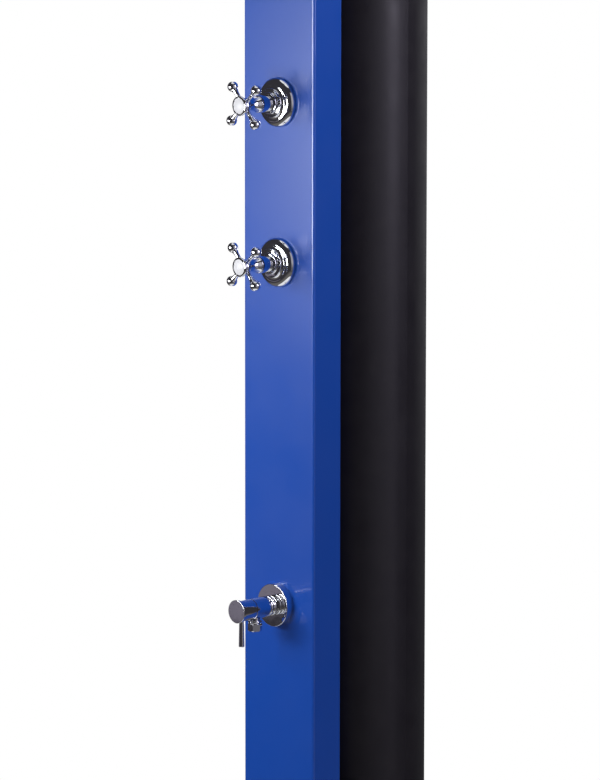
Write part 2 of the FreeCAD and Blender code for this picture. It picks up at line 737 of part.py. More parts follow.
def front_bore(z, radius):
    return rod(on_front(z), FRONT, radius, -PIPE_INSET, PORT_COLLAR_OUT)


def back_port(z):
    """Boss that meets the tank boss face to face."""
    return rod(pipe_point(0, z), BACK, BARREL_R - 1, 0, BOSS_REACH)


def back_bores(z):
    """Water way, and the thread for the tank nipple."""
    thread = rod(pipe_point(0, z), BACK, THREAD_R + SLIP, BACK_THREAD_START, BOSS_REACH)
    return [rod(pipe_point(0, z), BACK, SIDE_BORE_R, 0, BOSS_REACH), thread]


def inlet_manifold():
    """Bottom fitting: hose inlet from the left, tank feed to the back, cold pipe upwards."""
    bottom = HOSE_INLET_Z - MANIFOLD_FOOT
    inlet = pipe_point(0, HOSE_INLET_Z)
    body = rod(pipe_point(0, 0), UP, BARREL_R, bottom, MANIFOLD_TOP_Z).fuse([
        rod(inlet, LEFT, INLET_BRANCH_R, 0, BRANCH_END),
        back_port(TANK_INLET_Z),
    ])
    return body.cut(back_bores(TANK_INLET_Z) + [
        rod(pipe_point(0, 0), UP, BARREL_BORE_R, bottom + MANIFOLD_FLOOR, MANIFOLD_TOP_Z),
        rod(inlet, LEFT, SIDE_BORE_R, 0, BRANCH_END),
        rod(inlet, LEFT, THREAD_R + SLIP, BRANCH_END - INLET_GRIP, BRANCH_END),
        socket(0, MANIFOLD_TOP_Z, DOWN),
    ]).removeSplitter()


def inlet_nipple():
    """Hose inlet: a hexagon against the side wall, a half-inch thread on both sides of it."""
    origin = pipe_point(0, HOSE_INLET_Z)
    wall = PANEL_WIDTH / 2
    end = wall + INLET_HEX + INLET_THREAD
    body = rod(origin, LEFT, THREAD_R, BRANCH_END - INLET_GRIP, end - INLET_LEAD)
    lead = Part.makeCone(THREAD_R, THREAD_R - INLET_LEAD, INLET_LEAD,
                         origin + LEFT * (end - INLET_LEAD), LEFT)
    body = body.fuse([lead, hexagon(origin, LEFT, INLET_FLATS, wall, wall + INLET_HEX)])
    return body.cut(rod(origin, LEFT, INLET_BORE_R, 0, end + 1)).removeSplitter()


def tank_nipples():
    """Short threaded tubes between the fittings' back ports and the tank's front bosses."""
    reach = TANK_Y - TANK_INSIDE_R - PIPE_Y
    return Part.Compound([
        ring(pipe_point(0, z), BACK, THREAD_R, BARREL_BORE_R, BACK_THREAD_START + 1, reach)
        for z in (TANK_INLET_Z, TANK_OUTLET_Z)
    ])


def foot_tee():
    """Tee behind the foot tap."""
    bottom = FOOT_TAP_Z - FITTING_REACH
    top = FOOT_TAP_Z + FITTING_REACH
    body = rod(pipe_point(0, 0), UP, BARREL_R, bottom, top).fuse(front_port(FOOT_TAP_Z))
    return body.cut([
        rod(pipe_point(0, 0), UP, BARREL_BORE_R, bottom, top),
        front_bore(FOOT_TAP_Z, THREAD_R + SLIP),
        socket(0, bottom, UP),
        socket(0, top, DOWN),
    ]).removeSplitter()


def mixer_bar():
    """Cast bar with both valve seats; its middle empties sideways into the riser."""
    bottom = LOWER_VALVE_Z - BAR_REACH
    top = UPPER_VALVE_Z + BAR_REACH
    corner = pipe_point(RISER_X, MIX_Z)
    body = rod(pipe_point(0, 0), UP, BARREL_R, bottom, top).fuse([
        front_port(LOWER_VALVE_Z),
        front_port(UPPER_VALVE_Z),
        rod(pipe_point(0, MIX_Z), RIGHT, BRANCH_R, 0, RISER_X),
        Part.makeSphere(BRANCH_R, corner),
        rod(corner, UP, BRANCH_R, 0, RISER_SOCKET),
    ])
    return body.cut([
        rod(pipe_point(0, 0), UP, BARREL_BORE_R, bottom, top),
        front_bore(LOWER_VALVE_Z, CARTRIDGE_R + SLIP),
        front_bore(UPPER_VALVE_Z, CARTRIDGE_R + SLIP),
        rod(pipe_point(0, MIX_Z), RIGHT, BARREL_BORE_R, 0, RISER_X),
        rod(corner, UP, BARREL_BORE_R, 0, RISER_SOCKET),
        socket(0, bottom, UP),
        socket(0, top, DOWN),
        socket(RISER_X, MIX_Z + RISER_SOCKET, DOWN),
    ]).removeSplitter()


def outlet_elbow():
    """Takes warm water from the tank boss down into the hot pipe."""
    bottom = TANK_OUTLET_Z - FITTING_REACH
    top = TANK_OUTLET_Z + BARREL_R
    body = rod(pipe_point(0, 0), UP, BARREL_R, bottom, top).fuse(back_port(TANK_OUTLET_Z))
    return body.cut(back_bores(TANK_OUTLET_Z) + [
        rod(pipe_point(0, 0), UP, BARREL_BORE_R, bottom, TANK_OUTLET_Z + BARREL_BORE_R),
        socket(0, bottom, UP),
    ]).removeSplitter()


def arm_elbow():
    """Offset elbow: the riser comes up beside the arm, which leaves forwards on the centre line."""
    corner = pipe_point(RISER_X, ARM_Z)
    middle = pipe_point(0, ARM_Z)
    body = rod(middle, RIGHT, BRANCH_R, 0, RISER_X).fuse([
        Part.makeSphere(BRANCH_R, corner),
        rod(corner, DOWN, BRANCH_R, 0, RISER_SOCKET),
        rod(middle, BACK, PORT_BOSS_R, 0, BRANCH_R),
        front_port(ARM_Z),
    ])
    return body.cut([
        rod(middle, RIGHT, BARREL_BORE_R, 0, RISER_X),
        rod(corner, DOWN, BARREL_BORE_R, 0, RISER_SOCKET),
        front_bore(ARM_Z, ARM_TUBE_R + SLIP),
        socket(RISER_X, ARM_Z - RISER_SOCKET, UP),
    ]).removeSplitter()


def port_gaskets():
    """Rubber gaskets between the fittings' bosses and the back of the painted wall."""
    start = -PANEL_WALL - GASKET_THICK
    return Part.Compound([
        ring(on_front(z), FRONT, PORT_BOSS_R, PORT_COLLAR_R + SLIP, start, -PANEL_WALL)
        for z in (FOOT_TAP_Z, LOWER_VALVE_Z, UPPER_VALVE_Z, ARM_Z)
    ])


def lock_nuts():
    """Thin nuts that clamp the painted wall against each front port, under the roses."""
    nuts = []
    for z in (FOOT_TAP_Z, LOWER_VALVE_Z, UPPER_VALVE_Z, ARM_Z):
        nut = hexagon(on_front(z), FRONT, LOCK_NUT_FLATS, 0, LOCK_NUT_THICK)
        nuts.append(nut.cut(rod(on_front(z), FRONT, PORT_COLLAR_R + SLIP, 0, LOCK_NUT_THICK)))
    return Part.Compound(nuts)


# ---------------------------------------------------------------- valves
def escutcheon(z):
    """Bell-shaped rose: upright edge, rolled shoulder, concave bell, bead and neck ring."""
    bore = SLEEVE_R + SLIP
    rim = ROSE_R
    sheet = ROSE_SHEET
    shoulder = (rim - 2.4, ROSE_EDGE + 2.9)
    mouth = (ROSE_BEAD_R - 0.7, ROSE_MOUTH)
    return turned(
        on_front(z), FRONT,
        (rim - sheet, 0), (rim, 0), (rim, ROSE_EDGE), ((rim - 0.7, ROSE_EDGE + 1.9), shoulder),
        ((rim - 6.8, ROSE_EDGE + 4.4), mouth), *bead(ROSE_BEAD_R, ROSE_BEAD_OUT, 1.2, 0.7),
        (ROSE_RING_R, ROSE_BEAD_OUT + 1.8), *bead(ROSE_RING_R, ROSE_RING_OUT, 1.2, 0.5),
        (ROSE_RING_R - 1.8, ROSE_END), (bore, ROSE_END), (bore, ROSE_RING_OUT - 3),
        (ROSE_BEAD_R - 2.2, ROSE_MOUTH), ((rim - 8.4, ROSE_EDGE + 2.8), (rim - 3.4, ROSE_EDGE + 1.2)),
        (rim - sheet, ROSE_EDGE),
    )


def sleeve(z):
    """Chromed tube between the rose and the handle."""
    return ring(on_front(z), FRONT, SLEEVE_R, SLEEVE_R - SLEEVE_WALL, PORT_COLLAR_OUT, SLEEVE_END)


def cartridge(z):
    """Quarter-turn ceramic cartridge, as its brass housing."""
    bore = SPINDLE_R + RUN
    inside_sleeve = SLEEVE_R - SLEEVE_WALL - SLIP
    back = -PIPE_INSET + SEAT_GAP
    end = CARTRIDGE_END
    neck = CARTRIDGE_NECK_R
    return turned(
        on_front(z), FRONT,
        (bore, back), (bore, end), (neck - 0.4, end), (neck, end - 0.4), (neck, CARTRIDGE_SHOULDER),
        (inside_sleeve, CARTRIDGE_SHOULDER), (inside_sleeve, PORT_COLLAR_OUT),
        (CARTRIDGE_R, PORT_COLLAR_OUT), (CARTRIDGE_R, back),
    )


def spindle(z):
    """Turns in the cartridge; its square end drives the handle, its tapped end takes the screw."""
    shaft = rod(on_front(z), FRONT, SPINDLE_R, -PIPE_INSET + SEAT_GAP, SQUARE_START)
    square = square_bar(on_front(z), FRONT, SPINDLE_SQUARE, SQUARE_START, SQUARE_END)
    depth = SQUARE_END - HANDLE_SCREW_GRIP - 2
    return shaft.fuse(square).cut(rod(on_front(z), FRONT, HANDLE_SCREW_R + RUN, depth, SQUARE_END))


def handle_arm(z, angle):
    """One arm: a slim stem that swells like a pear into its end ball."""
    radial = Vector(math.cos(math.radians(angle)), 0, math.sin(math.radians(angle)))
    centre = on_front(z) + FRONT * ARM_PLANE
    join = math.radians(38)
    neck = (BALL_R * math.sin(join), ARM_CIRCLE_R - BALL_R * math.cos(join))
    waist = ARM_WAIST_R
    root = HUB_R - 1.0
    return turned(
        centre, radial,
        (0, root - 3), (waist + 0.8, root - 3), (waist + 0.8, root),
        ((waist, root + 4.4), (waist + 0.2, root + 8.6)), ((waist + 0.8, neck[1] - 2.4), neck),
        ((BALL_R, ARM_CIRCLE_R), (0, ARM_CIRCLE_R + BALL_R)),
    )


def cross_handle(z):
    """Cast cross handle: skirt, waist, hub with four arms, and a rolled front plate."""
    back = SLEEVE_END + MOVE_GAP
    skirt_bore = SKIRT_R - 2.1
    clear = CARTRIDGE_NECK_R + 0.4
    screw_hole = HANDLE_SCREW_R + SLIP
    button = INDEX_R + SLIP
    plate_back = INDEX_SEAT - 1.9
    hub = turned(
        on_front(z), FRONT,
        (skirt_bore, back), *bead(SKIRT_R, back + 1.3, 1.3, 0.7),
        ((WAIST_R + 1.4, back + 6.2), (WAIST_R + 0.1, back + 11.6)), (WAIST_R, ARM_PLANE - 6.3),
        ((HUB_R, ARM_PLANE - 0.7), (HUB_R - 1.7, plate_back - 0.3)), (PLATE_R - 1.7, plate_back),
        ((PLATE_R, INDEX_SEAT), (PLATE_R - 1.2, HUB_FACE - 0.2)), (PLATE_R - 1.8, HUB_FACE),
        (button + 0.3, HUB_FACE), (button, HUB_FACE - 0.3), (button, INDEX_SEAT),
        (HANDLE_SCREW_HEAD_R + SLIP, INDEX_SEAT), (HANDLE_SCREW_HEAD_R + SLIP, SCREW_SEAT),
        (screw_hole, SCREW_SEAT), (screw_hole, SQUARE_START + MOVE_GAP), (clear, SQUARE_START + MOVE_GAP),
        (clear, CARTRIDGE_END - 2), (skirt_bore, back + 2),
    )
    arms = [handle_arm(z, HANDLE_TURN + 90 * i) for i in range(4)]
    side = SPINDLE_SQUARE + 2 * RUN
    drive = square_bar(on_front(z), FRONT, side, CARTRIDGE_END, SQUARE_END + RUN)
    screw_way = rod(on_front(z), FRONT, screw_hole, SQUARE_START, SCREW_SEAT)
    return hub.fuse(arms).cut([drive, screw_way]).removeSplitter()


def handle_screw(z):
    """Holds the handle on the spindle, under the index button."""
    start = SQUARE_END - HANDLE_SCREW_GRIP
    head = HANDLE_SCREW_HEAD_R
    return turned(
        on_front(z), FRONT,
        (0, start), (HANDLE_SCREW_R, start), (HANDLE_SCREW_R, SCREW_SEAT), (head, SCREW_SEAT),
        (head, SCREW_SEAT + 1), ((head - 0.6, SCREW_SEAT + 2), (head - 2.2, SCREW_SEAT + HANDLE_SCREW_HEAD)),
        (0, SCREW_SEAT + HANDLE_SCREW_HEAD),
    )


def index_button(z):
    """Plain domed button that closes the hub."""
    edge = HUB_FACE - 0.4
    return turned(
        on_front(z), FRONT,
        (0, INDEX_SEAT), (INDEX_R, INDEX_SEAT), (INDEX_R, edge), crown(INDEX_R, edge, INDEX_DOME),
    )


# ---------------------------------------------------------------- foot tap
def tap_flange():
    """Deep cup-shaped flange with a flat mirror face."""
    bore = TAP_NECK_R + SLIP
    rim = FLANGE_R
    depth = FLANGE_DEPTH
    sheet = FLANGE_SHEET
    return turned(
        on_front(FOOT_TAP_Z), FRONT,
        (rim - sheet, 0), (rim, 0), (rim, depth - 0.6), ((rim - 0.18, depth - 0.18), (rim - 0.6, depth)),
        (bore, depth), (bore, depth - sheet), (rim - sheet, depth - sheet),
    )


def tap_body():
    """Turned body with two neck rings, and the spout that hangs from it."""
    neck = TAP_NECK_R
    rim = TAP_BODY_R
    end = TAP_BODY_END
    start = TAP_BODY_START
    rings = []
    for out in TAP_RING_OUT:
        rings += [(neck, out - 2.6), *bead(TAP_RING_R, out, 2.0, 0.5), (neck, out + 2.6)]
    body = turned(
        on_front(FOOT_TAP_Z), FRONT,
        (0, -PIPE_INSET + SEAT_GAP), (THREAD_R, -PIPE_INSET + SEAT_GAP), (THREAD_R, PORT_COLLAR_OUT),
        (neck, PORT_COLLAR_OUT), *rings, (neck, start - 0.4), (rim - 0.6, start), (rim, start + 0.8),
        (rim, end - 0.5), (rim - 0.5, end), (0, end),
    )
    spout_top = on_front(FOOT_TAP_Z) + FRONT * SPOUT_OUT
    nut_top = SPOUT_DROP - SPOUT_NUT
    spout = turned(
        spout_top, DOWN,
        (0, SPOUT_R), (SPOUT_R, SPOUT_R), (SPOUT_R, nut_top - SPOUT_RING),
        *bead(SPOUT_RING_R, nut_top - SPOUT_RING / 2, SPOUT_RING / 2 - 0.2, 1.0),
        (SPOUT_R, nut_top), (0, nut_top),
    )
    water = rod(on_front(FOOT_TAP_Z), FRONT, 5.0, -PIPE_INSET, SPOUT_OUT)
    outlet = rod(spout_top, DOWN, SPOUT_BORE_R, 0, SPOUT_DROP)
    return body.fuse(spout).cut([water, outlet])


def spout_nut():
    """Hexagonal outlet nut under the spout, open at the bottom."""
    top = on_front(FOOT_TAP_Z) + FRONT * SPOUT_OUT
    start = SPOUT_DROP - SPOUT_NUT
    corner = SPOUT_FLATS / math.sqrt(3)
    nut = hexagon(top, DOWN, SPOUT_FLATS, start, SPOUT_DROP)
    rounding = turned(
        top, DOWN,
        (0, start), (corner - 1.4, start), (corner, start + 1.4), (corner, SPOUT_DROP - 1.0),
        (corner - 1.0, SPOUT_DROP), (0, SPOUT_DROP),
    )
    bore = rod(top, DOWN, SPOUT_BORE_R, start, SPOUT_DROP)
    mouth = rod(top, DOWN, SPOUT_FLATS / 2 - 1.9, SPOUT_DROP - 4, SPOUT_DROP)
    return nut.common(rounding).cut([bore, mouth])


def tap_cartridge():
    bore = SPINDLE_R + RUN
    rim = TAP_CARTRIDGE_R
    end = TAP_CARTRIDGE_END
    return turned(
        on_front(FOOT_TAP_Z), FRONT,
        (bore, TAP_BODY_END), (rim, TAP_BODY_END), (rim, end - 0.6), (rim - 0.6, end), (bore, end),
    )


def tap_spindle():
    shaft = rod(on_front(FOOT_TAP_Z), FRONT, SPINDLE_R, TAP_BODY_END + MOVE_GAP, TAP_DRIVE_START)
    square = square_bar(on_front(FOOT_TAP_Z), FRONT, SPINDLE_SQUARE, TAP_DRIVE_START, TAP_DRIVE_END)
    return shaft.fuse(square)


def tap_handle():
    """Rotating end of the tap: a flat-faced cup over the cartridge, with a lip round its face."""
    back = TAP_BODY_END + MOVE_GAP
    face = TAP_HANDLE_FACE
    rim = TAP_HANDLE_R
    lip = TAP_LIP_R
    inside = rim - TAP_HANDLE_WALL
    cup = turned(
        on_front(FOOT_TAP_Z), FRONT,
        (inside, back), (rim - 0.5, back), (rim, back + 0.5), (rim, face - TAP_LIP - TAP_LIP_TAPER),
        (lip, face - TAP_LIP), (lip, face - 0.5), ((lip - 0.15, face - 0.15), (lip - 0.5, face)),
        (0, face), (0, TAP_DRIVE_START),
        (inside, TAP_DRIVE_START),
    )
    side = SPINDLE_SQUARE + 2 * RUN
    drive = square_bar(on_front(FOOT_TAP_Z), FRONT, side, TAP_DRIVE_START, TAP_DRIVE_END + SLIP)
    lever_top = on_front(FOOT_TAP_Z) + FRONT * LEVER_OUT
    tang = rod(lever_top, DOWN, LEVER_TANG_R + RUN, LEVER_TANG_START - SLIP, rim + 1)
    return cup.cut([drive, tang])


def tap_lever():
    """Slim lever that widens towards its flat end."""
    root = TAP_HANDLE_R + SLIP
    end = LEVER_REACH
    return turned(
        on_front(FOOT_TAP_Z) + FRONT * LEVER_OUT, DOWN,
        (0, LEVER_TANG_START), (LEVER_TANG_R, LEVER_TANG_START), (LEVER_TANG_R, root),
        (LEVER_TOP_R, root), (LEVER_END_R, end - 0.6), (LEVER_END_R - 0.5, end), (0, end),
    )


# ---------------------------------------------------------------- shower arm and head
def arm_flange():
    bore = ARM_TUBE_R + SLIP
    rim = ARM_FLANGE_R
    top = ARM_FLANGE_DEPTH
    return turned(
        on_front(ARM_Z), FRONT,
        (rim - 1.6, 0), (rim, 0), (rim, 1.6), ((rim * 0.72, top * 0.52), (bore + 1.6, top)), (bore, top),
        (bore, top - 3), ((rim * 0.69, top * 0.38), (rim - 1.6, 1.0)),
    )


def shower_arm():
    """Chromed tube, straight out of the profile and then bent down."""
    start = on_front(ARM_Z) + BACK * ARM_GRIP
    runs = [(FRONT, ARM_GRIP + ARM_REACH - ARM_BEND_R, ARM_BEND_R), (DOWN, ARM_TAIL, 0)]
    return bent_tube(start, runs, ARM_TUBE_R, ARM_TUBE_WALL)


def ball_point():
    return Vector(0, HEAD_Y, BALL_Z)


def ball_joint():
    """Hexagonal socket screwed on the arm, and the hollow ball that the head turns on."""
    arm_end = Vector(0, HEAD_Y, ARM_END_Z)
    body = hexagon(arm_end, DOWN, JOINT_FLATS, -JOINT_GRIP, JOINT_STEM_R).fuse([
        rod(arm_end, DOWN, JOINT_STEM_R, 0, BALL_DROP - JOINT_STEM_R / 2),
        Part.makeSphere(JOINT_BALL_R, ball_point()),
    ])
    socket_cut = rod(arm_end, DOWN, ARM_TUBE_R + SLIP, -JOINT_GRIP, 0)
    water = rod(arm_end, DOWN, JOINT_BORE_R, 0, BALL_DROP + JOINT_BALL_R)
    return body.cut([socket_cut, water]).removeSplitter()


def at_height(radius, height):
    """Outline point of a ball of that radius at a height from its middle."""
    return math.sqrt(radius * radius - height * height), height


def ball_seat():
    """Slippery ring between the bottom of the ball and the head's cup."""
    inner = JOINT_BALL_R + RUN
    outer = CUP_R - RUN
    middle = (SEAT_TOP + SEAT_BOTTOM) / 2
    return turned(
        ball_point(), UP,
        at_height(inner, SEAT_TOP), at_height(outer, SEAT_TOP),
        (at_height(outer, middle), at_height(outer, SEAT_BOTTOM)), at_height(inner, SEAT_BOTTOM),
        (at_height(inner, middle), at_height(inner, SEAT_TOP)),
    )


def head_nut():
    """Ring nut that keeps the ball in the head."""
    inner = JOINT_BALL_R + 3 * RUN
    neck = CUP_R + CUP_WALL + SLIP
    rim = HEAD_NUT_R
    top = HEAD_NUT_TOP
    bottom = NECK_BOTTOM + 4
    lip = top - 1
    return turned(
        ball_point(), UP,
        at_height(inner, CUP_TOP), (neck, CUP_TOP), (neck, bottom), (rim - 0.4, bottom),
        (rim, bottom + 0.6), (rim, top - 1.8), (rim - 1.4, top), (rim - 4.6, top),
        at_height(inner, lip), (at_height(inner, (lip + CUP_TOP) / 2), at_height(inner, CUP_TOP)),
    )


def head_shell():
    """Shallow rain head: socket neck, flared back and rolled rim."""
    neck = CUP_R + CUP_WALL
    water = JOINT_BORE_R
    rim = HEAD_R
    wall = HEAD_WALL
    bottom = HEAD_FACE
    top = HEAD_RIM_TOP
    ledge = bottom + FACE_PLATE_THICK
    cup_bottom = -math.sqrt(CUP_R ** 2 - water ** 2)
    return turned(
        ball_point(), UP,
        at_height(CUP_R, CUP_TOP), (neck, CUP_TOP), (neck, NECK_BOTTOM),
        ((neck + 2.6, NECK_BOTTOM - 5), (neck * 2, NECK_BOTTOM - 7.6)), (rim - 8, top + 6),
        ((rim - 1.6, top + 4.1), (rim, top)), (rim, bottom), (rim - wall, bottom),
        (rim - wall, ledge), (rim - 2 * wall, ledge), (rim - 2 * wall, top + 2.5),
        (neck * 2, NECK_BOTTOM - 10.4), (water, NECK_BOTTOM - 9.6), (water, cup_bottom),
        (at_height(CUP_R, (cup_bottom + CUP_TOP) / 2), at_height(CUP_R, CUP_TOP)),
    )


def nozzle_spots():
    """Nozzles on concentric rings."""
    turns = [(radius, 2 * math.pi * i / count) for radius, count in NOZZLE_RINGS for i in range(count)]
    return [Vector(radius * math.cos(turn), radius * math.sin(turn), 0) for radius, turn in turns]


def face_plate():
    """Disc under the head, with a hole for each nozzle."""
    top = HEAD_FACE + FACE_PLATE_THICK
    plate = rod(ball_point(), UP, HEAD_R - HEAD_WALL - SLIP, HEAD_FACE, top)
    return plate.cut([
        rod(ball_point() + spot, UP, NOZZLE_R + RUN, HEAD_FACE - 1, top + 1) for spot in nozzle_spots()
    ])


def nozzle_mat():
    """Soft mat behind the plate; its nozzles stand through the holes."""
    top = HEAD_FACE + FACE_PLATE_THICK
    mat = rod(ball_point(), UP, HEAD_R - 2 * HEAD_WALL - MOVE_GAP, top, top + MAT_THICK)
    length = FACE_PLATE_THICK + NOZZLE_PROUD
    return mat.fuse([
        Part.makeCone(NOZZLE_R, NOZZLE_TIP_R, length, ball_point() + spot + UP * top, DOWN)
        for spot in nozzle_spots()
    ])


# ---------------------------------------------------------------- the whole post
def nodes():
    """Every piece of the post by the name of its file."""
    made = {
        "base_plate": base_plate(),
        "base_collar": base_collar(),
        "foot_bracket": foot_bracket(),
        "foot_screws": foot_screws(),
        "front_panel": front_panel(),
        "panel_top_cap": panel_top_cap(),
        "top_cap_screws": top_cap_screws(),
        "tank_tube": tank_tube(),
        "tank_bottom_cap": tank_bottom_cap(),
        "tank_top_cap": tank_top_cap(),
        "drain_plug": drain_plug(),
        "drain_washer": drain_washer(),
        "standpipe": standpipe(),
        "saddle_screws": saddle_screws(),
        "inlet_nipple": inlet_nipple(),
        "inlet_manifold": inlet_manifold(),
        "tank_nipples": tank_nipples(),
        "foot_tee": foot_tee(),
        "mixer_bar": mixer_bar(),
        "outlet_elbow": outlet_elbow(),
        "arm_elbow": arm_elbow(),
        "pipe_nuts": pipe_nuts(),
        "port_gaskets": port_gaskets(),
        "lock_nuts": lock_nuts(),
        "foot_tap_flange": tap_flange(),
        "foot_tap_body": tap_body(),
        "foot_tap_spout_nut": spout_nut(),
        "foot_tap_cartridge": tap_cartridge(),
        "foot_tap_spindle": tap_spindle(),
        "foot_tap_handle": tap_handle(),
        "foot_tap_lever": tap_lever(),
        "arm_flange": arm_flange(),
        "shower_arm": shower_arm(),
        "ball_joint": ball_joint(),
        "ball_seat": ball_seat(),
        "head_nut": head_nut(),
        "head_shell": head_shell(),
        "head_face_plate": face_plate(),
        "head_nozzle_mat": nozzle_mat(),
    }
    for number, z in enumerate(SADDLES, start=1):
        made[f"tank_saddle_{number}"] = saddle(z)
    for name, (x, low, high) in pipe_runs().items():
        made[name] = pipe(x, low, high)
    for name, z in (("upper", UPPER_VALVE_Z), ("lower", LOWER_VALVE_Z)):
        made[f"{name}_rose"] = escutcheon(z)
        made[f"{name}_sleeve"] = sleeve(z)
        made[f"{name}_cartridge"] = cartridge(z)
        made[f"{name}_spindle"] = spindle(z)
        made[f"{name}_cross_handle"] = cross_handle(z)
        made[f"{name}_handle_screw"] = handle_screw(z)
        made[f"{name}_index_button"] = index_button(z)
    return made


def main():
    os.makedirs("parts", exist_ok=True)
    for name, shape in sorted(nodes().items()):
        shape.exportStep(os.path.join("parts", name + ".step"))
        state = "valid" if shape.isValid() else "NOT VALID"
        volume = shape.Volume / 1000
        print(f"{name:22s} {state:9s} solids {len(shape.Solids):2d}  volume {volume:9.2f} cm3")


main()
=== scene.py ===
"""Outdoor shower post with a sun-heated tank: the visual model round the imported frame.

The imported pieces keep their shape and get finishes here.  Welds, threads, screw heads and cement
lines are surfaces worked out with numpy.  Lengths in the classes are millimetres, as on a maker's
drawing; Blender's are metres.  +Z is up, +X is to the right of someone facing the post, and the
painted front looks along -Y.
"""

from __future__ import annotations

import json
import logging
import math
from dataclasses import dataclass, field
from enum import Enum
from typing import Sequence

import bmesh
import bpy
import numpy as np
from mathutils import Euler, Matrix, Vector

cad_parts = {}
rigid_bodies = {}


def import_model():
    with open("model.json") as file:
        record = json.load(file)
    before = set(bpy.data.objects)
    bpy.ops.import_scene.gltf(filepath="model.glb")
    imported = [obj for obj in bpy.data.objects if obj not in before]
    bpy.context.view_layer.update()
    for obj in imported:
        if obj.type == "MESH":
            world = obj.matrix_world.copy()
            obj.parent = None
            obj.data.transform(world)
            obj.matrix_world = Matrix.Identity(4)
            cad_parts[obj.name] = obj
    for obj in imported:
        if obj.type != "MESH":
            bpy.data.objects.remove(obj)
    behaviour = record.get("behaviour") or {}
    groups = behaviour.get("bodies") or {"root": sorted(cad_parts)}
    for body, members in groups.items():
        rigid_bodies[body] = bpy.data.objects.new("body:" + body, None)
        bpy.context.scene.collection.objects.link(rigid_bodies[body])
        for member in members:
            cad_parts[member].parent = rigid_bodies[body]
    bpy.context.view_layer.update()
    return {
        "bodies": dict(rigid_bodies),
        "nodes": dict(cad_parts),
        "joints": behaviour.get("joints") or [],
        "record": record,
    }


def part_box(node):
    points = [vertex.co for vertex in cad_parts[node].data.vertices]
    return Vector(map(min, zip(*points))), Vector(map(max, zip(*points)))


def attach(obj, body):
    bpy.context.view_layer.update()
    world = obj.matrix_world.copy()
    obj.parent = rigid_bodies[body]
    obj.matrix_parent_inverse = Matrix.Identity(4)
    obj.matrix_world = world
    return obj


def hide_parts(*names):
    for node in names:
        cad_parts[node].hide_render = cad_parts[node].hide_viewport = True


MM = 0.001
SAME_POINT_M = 2e-6  # points nearer than this are one point, as at a seam or a pole
SLIVER_M = 1e-7  # edges shorter than this are taken out
log = logging.getLogger("shower_post")

Array = np.ndarray
Point = tuple[float, float, float]
Socket = bpy.types.NodeSocket
Tree = bpy.types.NodeTree


# ------------------------------------------------------------------ small helpers
def linear(colour: str) -> tuple[float, float, float, float]:
    """Turns an sRGB hex colour into linear light.

    Args:
        colour: six hex digits after a hash, such as "#1446A0".

    Returns:
        Red, green, blue and an alpha of 1, each from 0 to 1.
    """
    parts = [int(colour[i : i + 2], 16) / 255 for i in (1, 3, 5)]
    light = [c / 12.92 if c <= 0.04045 else ((c + 0.055) / 1.055) ** 2.4 for c in parts]
    return light[0], light[1], light[2], 1.0


def per_metre(size_mm: float) -> float:
    """Scale of a pattern, in repeats to a metre, whose features are size_mm across."""
    return 1.0 / (size_mm * MM)


def add_node(
    tree: Tree,
    kind: str,
    settings: dict[str, object] | None = None,
    inputs: dict[str | int, object] | None = None,
) -> bpy.types.Node:
    """Adds one node to a tree with its settings, values and links.

    Args:
        tree: the node tree that gets it.
        kind: the node's type name.
        settings: attributes of the node itself.
        inputs: by input name or number, either a value or the output socket that feeds it.

    Returns:
        The node.
    """
    node = tree.nodes.new(kind)
    for name, value in (settings or {}).items():
        setattr(node, name, value)
    for key, value in (inputs or {}).items():
        if isinstance(value, Socket):
            tree.links.new(value, node.inputs[key])
        else:
            node.inputs[key].default_value = value
    return node


def calculate(tree: Tree, operation: str, first: object, second: object) -> Socket:
    """Adds a sum such as "ADD" on two numbers or sockets, and gives its result's socket."""
    inputs = {0: first, 1: second}
    return add_node(tree, "ShaderNodeMath", {"operation": operation}, inputs).outputs[0]


def vector_sum(tree: Tree, operation: str, *values: object) -> Socket:
    """Adds a sum on vectors.

    Args:
        tree: the node tree that gets it.
        operation: what is done, such as "SUBTRACT".
        values: one or two vectors or sockets.

    Returns:
        The number's socket for a length, and otherwise the vector's.
    """
    inputs = dict(enumerate(values))
    node = add_node(tree, "ShaderNodeVectorMath", {"operation": operation}, inputs)
    return node.outputs[1 if operation == "LENGTH" else 0]


def emptied_tree(owner: bpy.types.Material | bpy.types.World) -> Tree:
    """Switches a material or world to nodes and clears them.

    Args:
        owner: the material or world.

    Returns:
        Its empty node tree.
    """
    owner.use_nodes = True
    owner.node_tree.nodes.clear()
    return owner.node_tree


def linked(name: str, data: bpy.types.ID) -> bpy.types.Object:
    """Makes an object and links it to the scene.

    Args:
        name: the object's name.
        data: its mesh, lamp or camera.

    Returns:
        The object, at the origin.
    """
    made = bpy.data.objects.new(name, data)
    bpy.context.scene.collection.objects.link(made)
    return made


